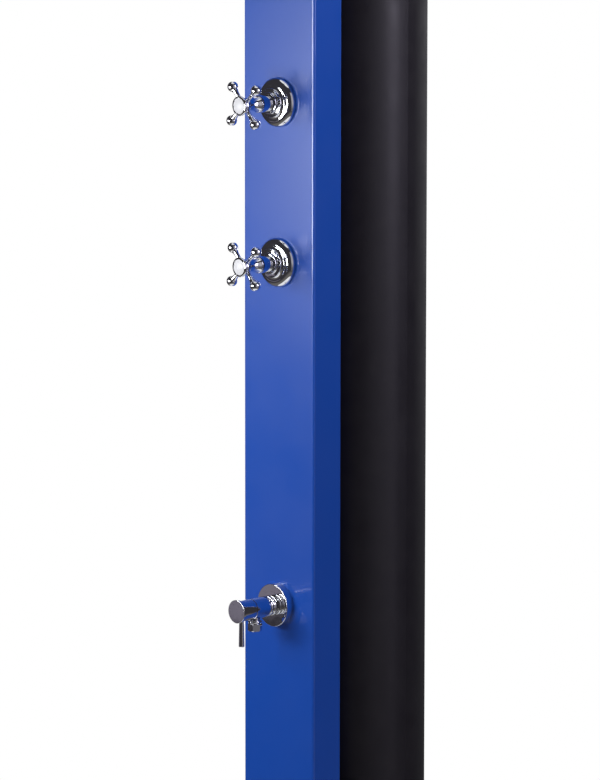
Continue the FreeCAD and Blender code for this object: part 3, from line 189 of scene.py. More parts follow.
# ------------------------------------------------------------------ finishes
@dataclass(frozen=True)
class Finish:
    """What every finish has: a name, two near colours and a range of roughness.

    The colour wanders slowly between the two colours, and the roughness between its two ends.
    """

    name: str = "finish"
    colour: str = "#808080"
    second: str = "#7A7A7A"
    smooth: float = 0.3
    rough: float = 0.4
    metallic: float = 0.0
    patch_mm: float = 60.0

    def material(self) -> bpy.types.Material:
        """Builds the material.

        Returns:
            A new material with one Principled shader, painted by this finish.
        """
        made = bpy.data.materials.new(self.name)
        tree = emptied_tree(made)
        shader = add_node(tree, "ShaderNodeBsdfPrincipled", inputs={"Metallic": self.metallic})
        add_node(tree, "ShaderNodeOutputMaterial", inputs={"Surface": shader.outputs["BSDF"]})
        self.paint(tree, shader)
        return made

    def coordinates(
        self, tree: Tree, stretch: Sequence[float] = (1.0, 1.0, 1.0)
    ) -> Socket:
        """Object coordinates, in metres.

        Args:
            tree: the material's node tree.
            stretch: factor on each axis; a small one draws a pattern out along that axis.

        Returns:
            The coordinates' socket.
        """
        place = add_node(tree, "ShaderNodeTexCoord").outputs["Object"]
        if tuple(stretch) == (1.0, 1.0, 1.0):
            return place
        mapping = add_node(tree, "ShaderNodeMapping", inputs={"Vector": place, "Scale": stretch})
        return mapping.outputs["Vector"]

    def noise(
        self,
        tree: Tree,
        size_mm: float,
        detail: float = 2.0,
        stretch: Sequence[float] = (1.0, 1.0, 1.0),
    ) -> Socket:
        """Soft random pattern.

        Args:
            tree: the material's node tree.
            size_mm: size of its features.
            detail: how many finer octaves it carries.
            stretch: factor on each axis.

        Returns:
            A value from 0 to 1.
        """
        inputs = {
            "Vector": self.coordinates(tree, stretch),
            "Scale": per_metre(size_mm),
            "Detail": detail,
        }
        return add_node(tree, "ShaderNodeTexNoise", inputs=inputs).outputs["Fac"]

    def ranged(
        self,
        tree: Tree,
        value: Socket,
        low: float,
        high: float,
        start: float = 0.3,
        end: float = 0.7,
    ) -> Socket:
        """Stretches a value.

        Args:
            tree: the material's node tree.
            value: what is stretched.
            low: result where the value is at or under start.
            high: result where it is at or over end.
            start: lower end of the value.
            end: upper end of the value.

        Returns:
            The stretched value, held between low and high.
        """
        inputs = {0: value, 1: start, 2: end, 3: low, 4: high}
        return add_node(tree, "ShaderNodeMapRange", {"clamp": True}, inputs).outputs[0]

    def mixed(
        self,
        tree: Tree,
        amount: Socket,
        first: object,
        second: object,
    ) -> Socket:
        """Mixes two colours.

        Args:
            tree: the material's node tree.
            amount: share of the second colour.
            first: a linear colour or a socket.
            second: a linear colour or a socket.

        Returns:
            The mixed colour.
        """
        inputs = {0: amount, 6: first, 7: second}
        return add_node(tree, "ShaderNodeMix", {"data_type": "RGBA"}, inputs).outputs[2]

    def bump(
        self,
        tree: Tree,
        shader: bpy.types.Node,
        *layers: tuple[Socket, float, float],
    ) -> None:
        """Lays bump layers over each other and feeds them to the shader.

        Args:
            tree: the material's node tree.
            shader: the Principled shader.
            layers: for each layer its height socket, its depth in mm and its strength.
        """
        normal = None
        for height, depth_mm, strength in layers:
            inputs = {"Height": height, "Distance": depth_mm * MM, "Strength": strength}
            if normal is not None:
                inputs["Normal"] = normal
            normal = add_node(tree, "ShaderNodeBump", inputs=inputs).outputs["Normal"]
        tree.links.new(normal, shader.inputs["Normal"])

    def tinted(
        self,
        tree: Tree,
        shader: bpy.types.Node,
        *layers: tuple[Socket, str],
    ) -> None:
        """Lays tints over the finish's own colour, the last on top, and feeds the shader.

        Args:
            tree: the material's node tree.
            shader: the Principled shader.
            layers: for each tint the socket of its share and its sRGB hex colour.
        """
        colour = self.base(tree, shader)
        for share, tint in layers:
            colour = self.mixed(tree, share, colour, linear(tint))
        tree.links.new(colour, shader.inputs["Base Color"])

    def base(self, tree: Tree, shader: bpy.types.Node) -> Socket:
        """Feeds the shader the slow change of colour and roughness.

        Args:
            tree: the material's node tree.
            shader: the Principled shader.

        Returns:
            The colour's socket, for a finish that adds to it.
        """
        patch = self.noise(tree, self.patch_mm)
        colour = self.mixed(tree, patch, linear(self.colour), linear(self.second))
        tree.links.new(colour, shader.inputs["Base Color"])
        fine = self.noise(tree, self.patch_mm / 3, 4.0)
        wander = self.ranged(tree, fine, self.smooth, self.rough)
        tree.links.new(wander, shader.inputs["Roughness"])
        return colour

    def paint(self, tree: Tree, shader: bpy.types.Node) -> None:
        """Plain finish: only the slow change and a faint grain."""
        self.base(tree, shader)
        self.bump(tree, shader, (self.noise(tree, 1.0), 0.01, 0.2))


@dataclass(frozen=True)
class PowderCoat(Finish):
    """Polyester powder baked on aluminium: satin gloss with a faint orange peel.

    The peel's swells are 1.6 mm wide.  Low down the wall is dulled by dried splashes.
    """

    name: str = "blue_polyester_powder_coat"
    colour: str = "#0348AE"
    second: str = "#0246AB"
    smooth: float = 0.30
    rough: float = 0.36
    patch_mm: float = 140.0
    splash_top_mm: float = 190.0
    splash_colour: str = "#3E64AC"

    def paint(self, tree: Tree, shader: bpy.types.Node) -> None:
        """Adds the peel, the pigment's speckle and the splashes near the ground.

        Args:
            tree: the material's node tree.
            shader: the Principled shader.
        """
        speckle = self.ranged(tree, self.noise(tree, 0.5, 1.0), 0.0, 0.05, 0.45, 0.75)
        place = {0: self.coordinates(tree)}
        height = add_node(tree, "ShaderNodeSeparateXYZ", inputs=place).outputs["Z"]
        low = self.ranged(tree, height, 1.0, 0.0, 0.01, self.splash_top_mm * MM)
        spots = self.ranged(tree, self.noise(tree, 7.0, 6.0), 0.0, 0.5, 0.52, 0.66)
        dirt = calculate(tree, "MULTIPLY", low, spots)
        self.tinted(tree, shader, (speckle, "#3B6CC0"), (dirt, self.splash_colour))
        shader.inputs["IOR"].default_value = 1.5
        shader.inputs["Coat Weight"].default_value = 0.9
        shader.inputs["Coat Roughness"].default_value = 0.08
        peel = self.noise(tree, 1.6, 1.0)
        swell = self.noise(tree, 7.0, 0.0)
        self.bump(tree, shader, (swell, 0.02, 0.25), (peel, 0.012, 0.30))


@dataclass(frozen=True)
class ExtrudedPvc(Finish):
    """Black PVC pipe, extruded: satin, with faint die lines along the tube and light scuffs."""

    name: str = "extruded_black_pvc"
    colour: str = "#16131B"
    second: str = "#18151D"
    smooth: float = 0.36
    rough: float = 0.46
    patch_mm: float = 90.0

    def paint(self, tree: Tree, shader: bpy.types.Node) -> None:
        """Adds die lines, dust and scuffs.

        Args:
            tree: the material's node tree.
            shader: the Principled shader.
        """
        lines = self.noise(tree, 3.0, 3.0, (1.0, 1.0, 0.008))
        dust = self.ranged(tree, self.noise(tree, 22.0, 8.0), 0.0, 0.02, 0.45, 0.75)
        rubbed = self.noise(tree, 5.0, 6.0, (1.0, 1.0, 0.15))
        scuff = self.ranged(tree, rubbed, 0.0, 0.03, 0.62, 0.70)
        self.tinted(tree, shader, (dust, "#6A6560"), (scuff, "#4B4A50"))
        shader.inputs["IOR"].default_value = 1.53
        self.bump(tree, shader, (lines, 0.03, 0.30), (self.noise(tree, 0.9, 2.0), 0.01, 0.20))


@dataclass(frozen=True)
class ChromePlate(Finish):
    """Nickel and chrome plated on polished brass: a mirror, with faint wipe marks and lime spots.

    The spots are dried drops 5 mm across that only dull the mirror a little.
    """

    name: str = "polished_chrome_plate"
    colour: str = "#E3E4E8"
    second: str = "#DADCE1"
    smooth: float = 0.03
    rough: float = 0.075
    metallic: float = 1.0
    patch_mm: float = 35.0
    drop_mm: float = 5.0

    def paint(self, tree: Tree, shader: bpy.types.Node) -> None:
        """Adds the wipe marks, the spots and the polish's slight waviness.

        Args:
            tree: the material's node tree.
            shader: the Principled shader.
        """
        self.base(tree, shader)
        scale = per_metre(self.drop_mm)
        inputs = {"Vector": self.coordinates(tree), "Scale": scale, "Randomness": 1.0}
        cell = add_node(tree, "ShaderNodeTexVoronoi", inputs=inputs).outputs["Distance"]
        ring = self.ranged(tree, cell, 0.12, 0.0, 0.10, 0.22)
        wipe = self.ranged(tree, self.noise(tree, 11.0, 6.0), self.smooth, self.rough)
        tree.links.new(calculate(tree, "ADD", ring, wipe), shader.inputs["Roughness"])
        self.bump(tree, shader, (self.noise(tree, 9.0, 0.0), 0.02, 0.10))


@dataclass(frozen=True)
class CastBrass(Finish):
    """Sand-cast brass left unplated: warm, dull, with a gritty skin and brown tarnish."""

    name: str = "sand_cast_brass"
    colour: str = "#B5924F"
    second: str = "#9A7A40"
    smooth: float = 0.30
    rough: float = 0.48
    metallic: float = 1.0
    patch_mm: float = 14.0

    def paint(self, tree: Tree, shader: bpy.types.Node) -> None:
        """Adds tarnish and grit.

        Args:
            tree: the material's node tree.
            shader: the Principled shader.
        """
        tarnish = self.ranged(tree, self.noise(tree, 8.0, 6.0), 0.0, 0.55, 0.50, 0.72)
        self.tinted(tree, shader, (tarnish, "#6B512C"))
        self.bump(tree, shader, (self.noise(tree, 0.8, 3.0), 0.05, 0.35))


@dataclass(frozen=True)
class DrawnStainless(Finish):
    """Cold-drawn stainless tube: pale grey with fine lines along its length."""

    name: str = "drawn_stainless_tube"
    colour: str = "#B9BBBC"
    second: str = "#AEB0B2"
    smooth: float = 0.22
    rough: float = 0.34
    metallic: float = 1.0
    patch_mm: float = 30.0

    def paint(self, tree: Tree, shader: bpy.types.Node) -> None:
        """Adds the drawing lines."""
        self.base(tree, shader)
        self.bump(tree, shader, (self.noise(tree, 0.6, 2.0, (1.0, 1.0, 0.01)), 0.02, 0.30))


@dataclass(frozen=True)
class BrushedSheet(Finish):
    """Stainless plate brushed along the post's width, with a heat tint beside the tank's weld.

    The tint depends on the distance from the tank's axis: straw first, then blue by the weld.
    """

    name: str = "brushed_stainless_plate"
    colour: str = "#B4B6B8"
    second: str = "#A7A9AC"
    smooth: float = 0.26
    rough: float = 0.42
    metallic: float = 1.0
    patch_mm: float = 45.0
    weld_y_mm: float = 29.0
    weld_r_mm: float = 87.2

    def paint(self, tree: Tree, shader: bpy.types.Node) -> None:
        """Adds the brush lines, scratches, dust and the heat tint.

        Args:
            tree: the material's node tree.
            shader: the Principled shader.
        """
        axis = (0.0, self.weld_y_mm * MM, 0.0)
        away = vector_sum(tree, "SUBTRACT", self.coordinates(tree), axis)
        radius = vector_sum(tree, "LENGTH", vector_sum(tree, "MULTIPLY", away, (1.0, 1.0, 0.0)))
        weld = self.weld_r_mm * MM
        straw = self.ranged(tree, radius, 0.55, 0.0, weld + 0.003, weld + 0.013)
        blue = self.ranged(tree, radius, 0.6, 0.0, weld + 0.001, weld + 0.006)
        dust = self.ranged(tree, self.noise(tree, 30.0, 8.0), 0.0, 0.25, 0.5, 0.75)
        self.tinted(tree, shader, (straw, "#B99A5E"), (blue, "#4E5A86"), (dust, "#8A8781"))
        brushed = self.noise(tree, 0.7, 3.0, (0.02, 1.0, 1.0))
        scratches = self.noise(tree, 2.2, 2.0, (0.05, 1.0, 1.0))
        self.bump(tree, shader, (brushed, 0.03, 0.35), (scratches, 0.03, 0.15))


@dataclass(frozen=True)
class WeldBead(Finish):
    """Stainless weld metal: bright ripples with blue and straw oxide between them."""

    name: str = "stainless_weld_metal"
    colour: str = "#A5A29C"
    second: str = "#6C7390"
    smooth: float = 0.25
    rough: float = 0.5
    metallic: float = 1.0
    patch_mm: float = 5.0

    def paint(self, tree: Tree, shader: bpy.types.Node) -> None:
        """Adds the oxide's straw colour and a scaly skin.

        Args:
            tree: the material's node tree.
            shader: the Principled shader.
        """
        straw = self.ranged(tree, self.noise(tree, 3.0, 4.0), 0.0, 0.6, 0.45, 0.7)
        self.tinted(tree, shader, (straw, "#A88B58"))
        self.bump(tree, shader, (self.noise(tree, 0.7, 3.0), 0.04, 0.4))


@dataclass(frozen=True)
class TurnedSteel(Finish):
    """Stainless screws: rolled and tumbled, evenly bright with small dents."""

    name: str = "tumbled_stainless_screw"
    colour: str = "#B6B6B8"
    second: str = "#A4A4A8"
    smooth: float = 0.22
    rough: float = 0.38
    metallic: float = 1.0
    patch_mm: float = 3.0

    def paint(self, tree: Tree, shader: bpy.types.Node) -> None:
        """Adds the tumbling's dents."""
        self.base(tree, shader)
        self.bump(tree, shader, (self.noise(tree, 0.8, 2.0), 0.02, 0.3))


@dataclass(frozen=True)
class MouldedPolypropylene(Finish):
    """Injection-moulded black polypropylene: matt from a spark-eroded mould's fine grain."""

    name: str = "moulded_black_polypropylene"
    colour: str = "#151517"
    second: str = "#1B1B1D"
    smooth: float = 0.48
    rough: float = 0.6
    patch_mm: float = 40.0

    def paint(self, tree: Tree, shader: bpy.types.Node) -> None:
        """Adds the mould's grain and a bloom of dust.

        Args:
            tree: the material's node tree.
            shader: the Principled shader.
        """
        dust = self.ranged(tree, self.noise(tree, 15.0, 8.0), 0.0, 0.10, 0.5, 0.75)
        self.tinted(tree, shader, (dust, "#77736C"))
        self.bump(tree, shader, (self.noise(tree, 0.6, 3.0), 0.04, 0.45))


@dataclass(frozen=True)
class Rubber(Finish):
    """Moulded EPDM rubber: soft black, dull, with a grey bloom."""

    name: str = "black_epdm_rubber"
    colour: str = "#121213"
    second: str = "#1D1D1E"
    smooth: float = 0.62
    rough: float = 0.8
    patch_mm: float = 8.0


@dataclass(frozen=True)
class Silicone(Finish):
    """Grey silicone rubber of the spray mat: smooth with a dull skin."""

    name: str = "grey_silicone_rubber"
    colour: str = "#6C7076"
    second: str = "#62666C"
    smooth: float = 0.40
    rough: float = 0.55
    patch_mm: float = 12.0


@dataclass(frozen=True)
class Ptfe(Finish):
    """Turned PTFE: waxy white with faint tool marks."""

    name: str = "turned_white_ptfe"
    colour: str = "#E6E5E0"
    second: str = "#DCDBD5"
    smooth: float = 0.35
    rough: float = 0.5
    patch_mm: float = 6.0


@dataclass(frozen=True)
class IndexEnamel(Finish):
    """White enamel of the handle's plain button: satin, faintly wavy."""

    name: str = "white_satin_enamel"
    colour: str = "#DEDFE4"
    second: str = "#D6D7DD"
    smooth: float = 0.34
    rough: float = 0.46
    patch_mm: float = 6.0

    def paint(self, tree: Tree, shader: bpy.types.Node) -> None:
        """Adds the glaze's slight waviness."""
        self.base(tree, shader)
        self.bump(tree, shader, (self.noise(tree, 4.0, 0.0), 0.01, 0.15))


@dataclass(frozen=True)
class SolventCement(Finish):
    """Dried PVC solvent cement squeezed out round a socket: dark and glossy."""

    name: str = "dried_pvc_cement"
    colour: str = "#1A191C"
    second: str = "#232226"
    smooth: float = 0.14
    rough: float = 0.3
    patch_mm: float = 6.0


@dataclass(frozen=True)
class PaleFloor(Finish):
    """Pale mineral floor that fades out at its rim, so it meets the white surroundings softly.

    The camera sees it lifted towards the surroundings' white, and it keeps the post's shadow.
    """

    name: str = "pale_mineral_floor"
    colour: str = "#E6E6E4"
    second: str = "#E0E0DE"
    smooth: float = 0.6
    rough: float = 0.75
    patch_mm: float = 300.0
    lift: float = 0.42
    fade_start_m: float = 0.35
    fade_end_m: float = 1.35

    def paint(self, tree: Tree, shader: bpy.types.Node) -> None:
        """Mixes the floor with nothing towards its rim.

        Args:
            tree: the material's node tree.
            shader: the Principled shader.
        """
        self.base(tree, shader)
        self.bump(tree, shader, (self.noise(tree, 3.0, 4.0), 0.05, 0.1))
        radius = vector_sum(tree, "LENGTH", self.coordinates(tree))
        fade = self.ranged(tree, radius, 0.0, 1.0, self.fade_start_m, self.fade_end_m)
        seen = add_node(tree, "ShaderNodeLightPath").outputs["Is Camera Ray"]
        lift = self.ranged(tree, seen, 0.0, self.lift)
        glow = add_node(tree, "ShaderNodeEmission", inputs={"Strength": lift}).outputs[0]
        inputs = {0: shader.outputs["BSDF"], 1: glow}
        lit = add_node(tree, "ShaderNodeAddShader", inputs=inputs).outputs[0]
        nothing = add_node(tree, "ShaderNodeBsdfTransparent").outputs[0]
        inputs = {0: fade, 1: lit, 2: nothing}
        blend = add_node(tree, "ShaderNodeMixShader", inputs=inputs).outputs[0]
        output = next(n for n in tree.nodes if n.type == "OUTPUT_MATERIAL")
        tree.links.new(blend, output.inputs["Surface"])


class Wear(Enum):
    """The finishes on the post, by what each piece is made of."""

    PAINTED = PowderCoat()
    PIPE_PLASTIC = ExtrudedPvc()
    PLATED = ChromePlate()
    BRASS = CastBrass()
    TUBE = DrawnStainless()
    PLATE = BrushedSheet()
    WELD = WeldBead()
    SCREW = TurnedSteel()
    MOULDED = MouldedPolypropylene()
    RUBBER = Rubber()
    SILICONE = Silicone()
    PTFE = Ptfe()
    BUTTON = IndexEnamel()
    CEMENT = SolventCement()
    FLOOR = PaleFloor()


class Paintshop:
    """Makes each finish once and puts it on pieces."""

    def __init__(self) -> None:
        """Starts with no material made."""
        self.made: dict[Wear, bpy.types.Material] = {}

    def material(self, wear: Wear) -> bpy.types.Material:
        """The material of a finish, made when first asked for.

        Args:
            wear: the finish.

        Returns:
            The material.
        """
        if wear not in self.made:
            self.made[wear] = wear.value.material()
        return self.made[wear]

    def dress(self, piece: bpy.types.Object, wear: Wear) -> None:
        """Puts a finish on all of a piece.

        Args:
            piece: the piece's object.
            wear: the finish.
        """
        piece.data.materials.clear()
        piece.data.materials.append(self.material(wear))


# ------------------------------------------------------------------ surfaces
@dataclass
class Surface:
    """Vertices in metres and faces, built up as arrays."""

    points: Array = field(default_factory=lambda: np.zeros((0, 3)))
    quads: Array = field(default_factory=lambda: np.zeros((0, 4), int))

    def joined(self, other: "Surface") -> "Surface":
        """This surface and another one in one mesh."""
        shifted = other.quads + len(self.points)
        return Surface(np.vstack([self.points, other.points]), np.vstack([self.quads, shifted]))

    def piece(self, name: str, sharp_deg: float = 35.0) -> bpy.types.Object:
        """Makes the object.

        Points that coincide, as at a seam or a pole, are merged, and faces are turned outwards.

        Args:
            name: the object's name.
            sharp_deg: edges that turn by more than this stay sharp.

        Returns:
            The object, at the origin, linked to the scene.
        """
        mesh = bpy.data.meshes.new(name)
        mesh.from_pydata(self.points.tolist(), [], self.quads.tolist())
        shaped = bmesh.new()
        shaped.from_mesh(mesh)
        bmesh.ops.remove_doubles(shaped, verts=shaped.verts, dist=SAME_POINT_M)
        bmesh.ops.dissolve_degenerate(shaped, edges=shaped.edges, dist=SLIVER_M)
        bmesh.ops.recalc_face_normals(shaped, faces=shaped.faces)
        shaped.to_mesh(mesh)
        shaped.free()
        mesh.shade_smooth()
        mesh.set_sharp_from_angle(angle=math.radians(sharp_deg))
        return linked(name, mesh)


def grid_quads(rows: int, columns: int, wrap_rows: bool, wrap_columns: bool) -> Array:
    """Faces of a grid of points numbered row by row.

    Args:
        rows: points down the grid.
        columns: points across it.
        wrap_rows: whether the last row joins the first.
        wrap_columns: whether the last column joins the first.

    Returns:
        One row of four point numbers for each face.
    """
    i, j = np.meshgrid(
        np.arange(rows if wrap_rows else rows - 1),
        np.arange(columns if wrap_columns else columns - 1),
        indexing="ij",
    )
    up, right = (i + 1) % rows, (j + 1) % columns
    corners = [i * columns + j, i * columns + right, up * columns + right, up * columns + j]
    return np.stack([c.ravel() for c in corners], axis=1)


@dataclass(frozen=True)
class Lathe:
    """Turns radius tables about an axis.

    A point at turn t and table row k stands at origin + height[k] * along + radius[k, t] * (cos t
    * side + sin t * up), where side and up are square to along.
    """

    origin: Point
    along: Point
    turns: int = 96

    def angles(self) -> Array:
        """The turns, in radians, evenly spaced."""
        return np.linspace(0, 2 * math.pi, self.turns, endpoint=False)

    def surface(self, radius: Array, height: Array, ring: bool = True) -> Surface:
        """Carries a profile round the axis.

        Args:
            radius: radius of each profile point in mm, one column, or one column to a turn.
            height: distance of each profile point along the axis in mm, shaped like radius.
            ring: whether the profile's last point joins its first.

        Returns:
            The surface.
        """
        turn = self.angles()[None, :]
        along = Vector(self.along).normalized()
        side = along.orthogonal().normalized()
        up = along.cross(side)
        r = np.broadcast_to(radius, (len(radius), self.turns))
        h = np.broadcast_to(height, (len(radius), self.turns))
        points = (
            np.array(self.origin)
            + h[..., None] * np.array(along)
            + (r * np.cos(turn))[..., None] * np.array(side)
            + (r * np.sin(turn))[..., None] * np.array(up)
        )
        quads = grid_quads(len(radius), self.turns, ring, True)
        return Surface(points.reshape(-1, 3) * MM, quads)


def hexagon_radius(turn: Array, flats: float) -> Array:
    """Hexagon's middle to its side: half the flats over the cosine of the turn off a flat."""
    step = math.pi / 3
    return flats / 2 / np.cos((turn + step / 2) % step - step / 2)


def column(*values: float) -> Array:
    """The values as one column."""
    return np.array(values, float)[:, None]


# ------------------------------------------------------------------ sub-assemblies
@dataclass
class SubAssembly:
    """What all sub-assemblies share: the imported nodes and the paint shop."""

    frame: dict[str, object]
    paint: Paintshop

    def finish_nodes(self, wear: Wear, *names: str) -> None:
        """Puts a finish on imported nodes.

        Args:
            wear: the finish.
            names: the nodes.
        """
        for name in names:
            self.paint.dress(self.frame["nodes"][name], wear)
            log.info("%s: %s", name, wear.value.name)

    def add(
        self, surface: Surface, name: str, wear: Wear, slot: str, body: str = "post"
    ) -> bpy.types.Object:
        """Adds a new piece that rides on a body.

        Args:
            surface: its shape.
            name: its name.
            wear: its finish.
            slot: the record's material slot it belongs to; not used.
            body: the body that carries it.

        Returns:
            The object.
        """
        piece = surface.piece(name)
        self.paint.dress(piece, wear)
        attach(piece, body)
        log.info("%s: new, %d faces", name, len(piece.data.polygons))
        return piece


@dataclass
class ScrewHead:
    """Pan head with a six-sided socket, on a plain shank.

    Each profile point is a circle, but for the socket's points, which follow a hexagon.
    """

    grip: float
    head_r: float = 4.6
    head_height: float = 2.6
    shank_r: float = 2.5
    socket_flats: float = 3.0
    socket_depth: float = 1.6

    def surface(self, origin: Point, along: Point) -> Surface:
        """The screw, with its head's underside at origin and its top towards along.

        Args:
            origin: middle of the head's underside, in mm.
            along: direction out of the head.

        Returns:
            The closed surface.
        """
        lathe = Lathe(origin, along, 48)
        hexagon = hexagon_radius(lathe.angles(), self.socket_flats)[None, :]
        swell = np.linspace(0, math.pi / 2, 7)[:, None]
        round_r = self.head_r - 0.45 * self.head_height * (1 - np.cos(swell))
        round_h = self.head_height * (0.35 + 0.6 * np.sin(swell))
        ones = np.ones((1, lathe.turns))
        rim = self.socket_flats * 0.62
        bottom = self.head_height - self.socket_depth
        radius = np.vstack([
            column(0.0, self.shank_r * 0.75, self.shank_r, self.shank_r, self.head_r) * ones,
            round_r * ones,
            column(rim) * ones,
            hexagon * 1.03,
            hexagon,
            hexagon,
            column(0.0) * ones,
        ])
        height = np.vstack([
            column(-self.grip, -self.grip, -self.grip + 0.6, 0.0, 0.0),
            round_h,
            column(
                self.head_height, self.head_height, self.head_height - 0.15, bottom, bottom - 0.4
            ),
        ])
        return lathe.surface(radius, height, ring=False)


@dataclass
class Base(SubAssembly):
    """Steel foot: plate, collar for the tank, bracket inside the profile, welds and screws."""

    plate_top: float = 6.0
    collar_r: float = 87.24
    collar_y: float = 30.0
    collar_height: float = 40.0
    weld_r: float = 2.4
    weld_pitch: float = 2.6
    screw_up: float = 30.0
    profile_half: float = 61.0
    profile_y: float = -86.5
    side_grip: float = 8.0
    collar_grip: float = 3.05

    def weld_ring(self) -> Surface:
        """Fillet weld round the collar.

        The bead's section is a circle that sits in the corner; its radius swells with the size of
        the sine of the distance along the seam, which draws the welder's ripples.

        Returns:
            The closed surface.
        """
        seam = np.linspace(0, 2 * math.pi, 840, endpoint=False)[None, :]
        section = np.linspace(0, 2 * math.pi, 14, endpoint=False)[:, None]
        along = seam * self.collar_r
        ripple = np.abs(np.sin(math.pi * along / self.weld_pitch + 0.7 * np.cos(section)))
        wander = 0.12 * np.sin(seam * 7.0) + 0.10 * np.sin(seam * 17.0 + 1.0)
        r = self.weld_r * (1 + wander * 0.6) * (0.90 + 0.12 * ripple)
        radius = self.collar_r - 0.2 + r * np.cos(section)
        height = self.plate_top - 0.3 + r * np.sin(section)
        lathe = Lathe((0.0, self.collar_y, 0.0), (0.0, 0.0, 1.0), seam.shape[1])
        return lathe.surface(radius, np.maximum(height, self.plate_top - 0.6))

    def screws(self) -> Surface:
        """The five pan-head screws: three in the collar, two in the profile's sides.

        Returns:
            One surface for all of them.
        """
        middle = self.plate_top + self.collar_height / 2
        low = self.plate_top + self.screw_up
        side = ScrewHead(grip=self.side_grip)
        collar = ScrewHead(grip=self.collar_grip)
        made = Surface()
        for way in ((-1.0, 0.0, 0.0), (1.0, 0.0, 0.0), (0.0, 1.0, 0.0)):
            spot = (way[0] * self.collar_r, self.collar_y + way[1] * self.collar_r, middle)
            made = made.joined(collar.surface(spot, way))
        for sign in (-1.0, 1.0):
            spot = (sign * self.profile_half, self.profile_y, low)
            made = made.joined(side.surface(spot, (sign, 0.0, 0.0)))
        return made

    def build(self) -> None:
        """Finishes the plate, collar and bracket and adds the weld and the screws."""
        self.finish_nodes(Wear.PLATE, "base_plate", "base_collar", "foot_bracket")
        self.add(self.weld_ring(), "collar_weld", Wear.WELD, "stainless_sheet")
        screws = self.add(self.screws(), "socket_head_screws", Wear.SCREW, "screw_steel")
        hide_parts("foot_screws")


@dataclass
class Profile(SubAssembly):
    """Painted aluminium profile with its end cap."""

    def build(self) -> None:
        """Finishes the profile, its cap and the cap's screws."""
        self.finish_nodes(Wear.PAINTED, "front_panel")
        self.finish_nodes(Wear.MOULDED, "panel_top_cap")
        self.finish_nodes(Wear.SCREW, "top_cap_screws")


@dataclass
class Tank(SubAssembly):
    """Black tank with its caps, drain and the saddles that hold it."""

    tube_r: float = 80.0
    tank_y: float = 30.0
    lower_rim_z: float = 67.0
    upper_rim_z: float = 2065.0
    bead_r: float = 1.3

    def cement_line(self, z: float) -> Surface:
        """Cement squeezed out where a cap ends on the tube.

        The bead's section is a circle whose radius wanders with three sines of the turn.

        Args:
            z: height of the cap's rim, in mm.

        Returns:
            The closed surface.
        """
        lathe = Lathe((0.0, self.tank_y, z), (0.0, 0.0, 1.0), 240)
        turn = lathe.angles()[None, :]
        section = np.linspace(0, 2 * math.pi, 10, endpoint=False)[:, None]
        wander = 0.16 * np.sin(5 * turn) + 0.12 * np.sin(13 * turn + 2) + 0.10 * np.sin(29 * turn)
        r = self.bead_r * (1 + wander)
        return lathe.surface(self.tube_r + 0.2 + r * np.cos(section), r * np.sin(section))

    def build(self) -> None:
        """Finishes the tank's pieces and adds the cement lines."""
        self.finish_nodes(Wear.PIPE_PLASTIC, "tank_tube", "tank_bottom_cap", "tank_top_cap")
        self.finish_nodes(Wear.BRASS, "drain_plug", "tank_nipples")
        self.finish_nodes(Wear.RUBBER, "drain_washer")
        self.finish_nodes(Wear.TUBE, "standpipe")
        self.finish_nodes(Wear.MOULDED, "tank_saddle_1", "tank_saddle_2", "tank_saddle_3")
        self.finish_nodes(Wear.SCREW, "saddle_screws")
        lines = self.cement_line(self.lower_rim_z).joined(self.cement_line(self.upper_rim_z))
        self.add(lines, "cap_cement_lines", Wear.CEMENT, "black_pvc")


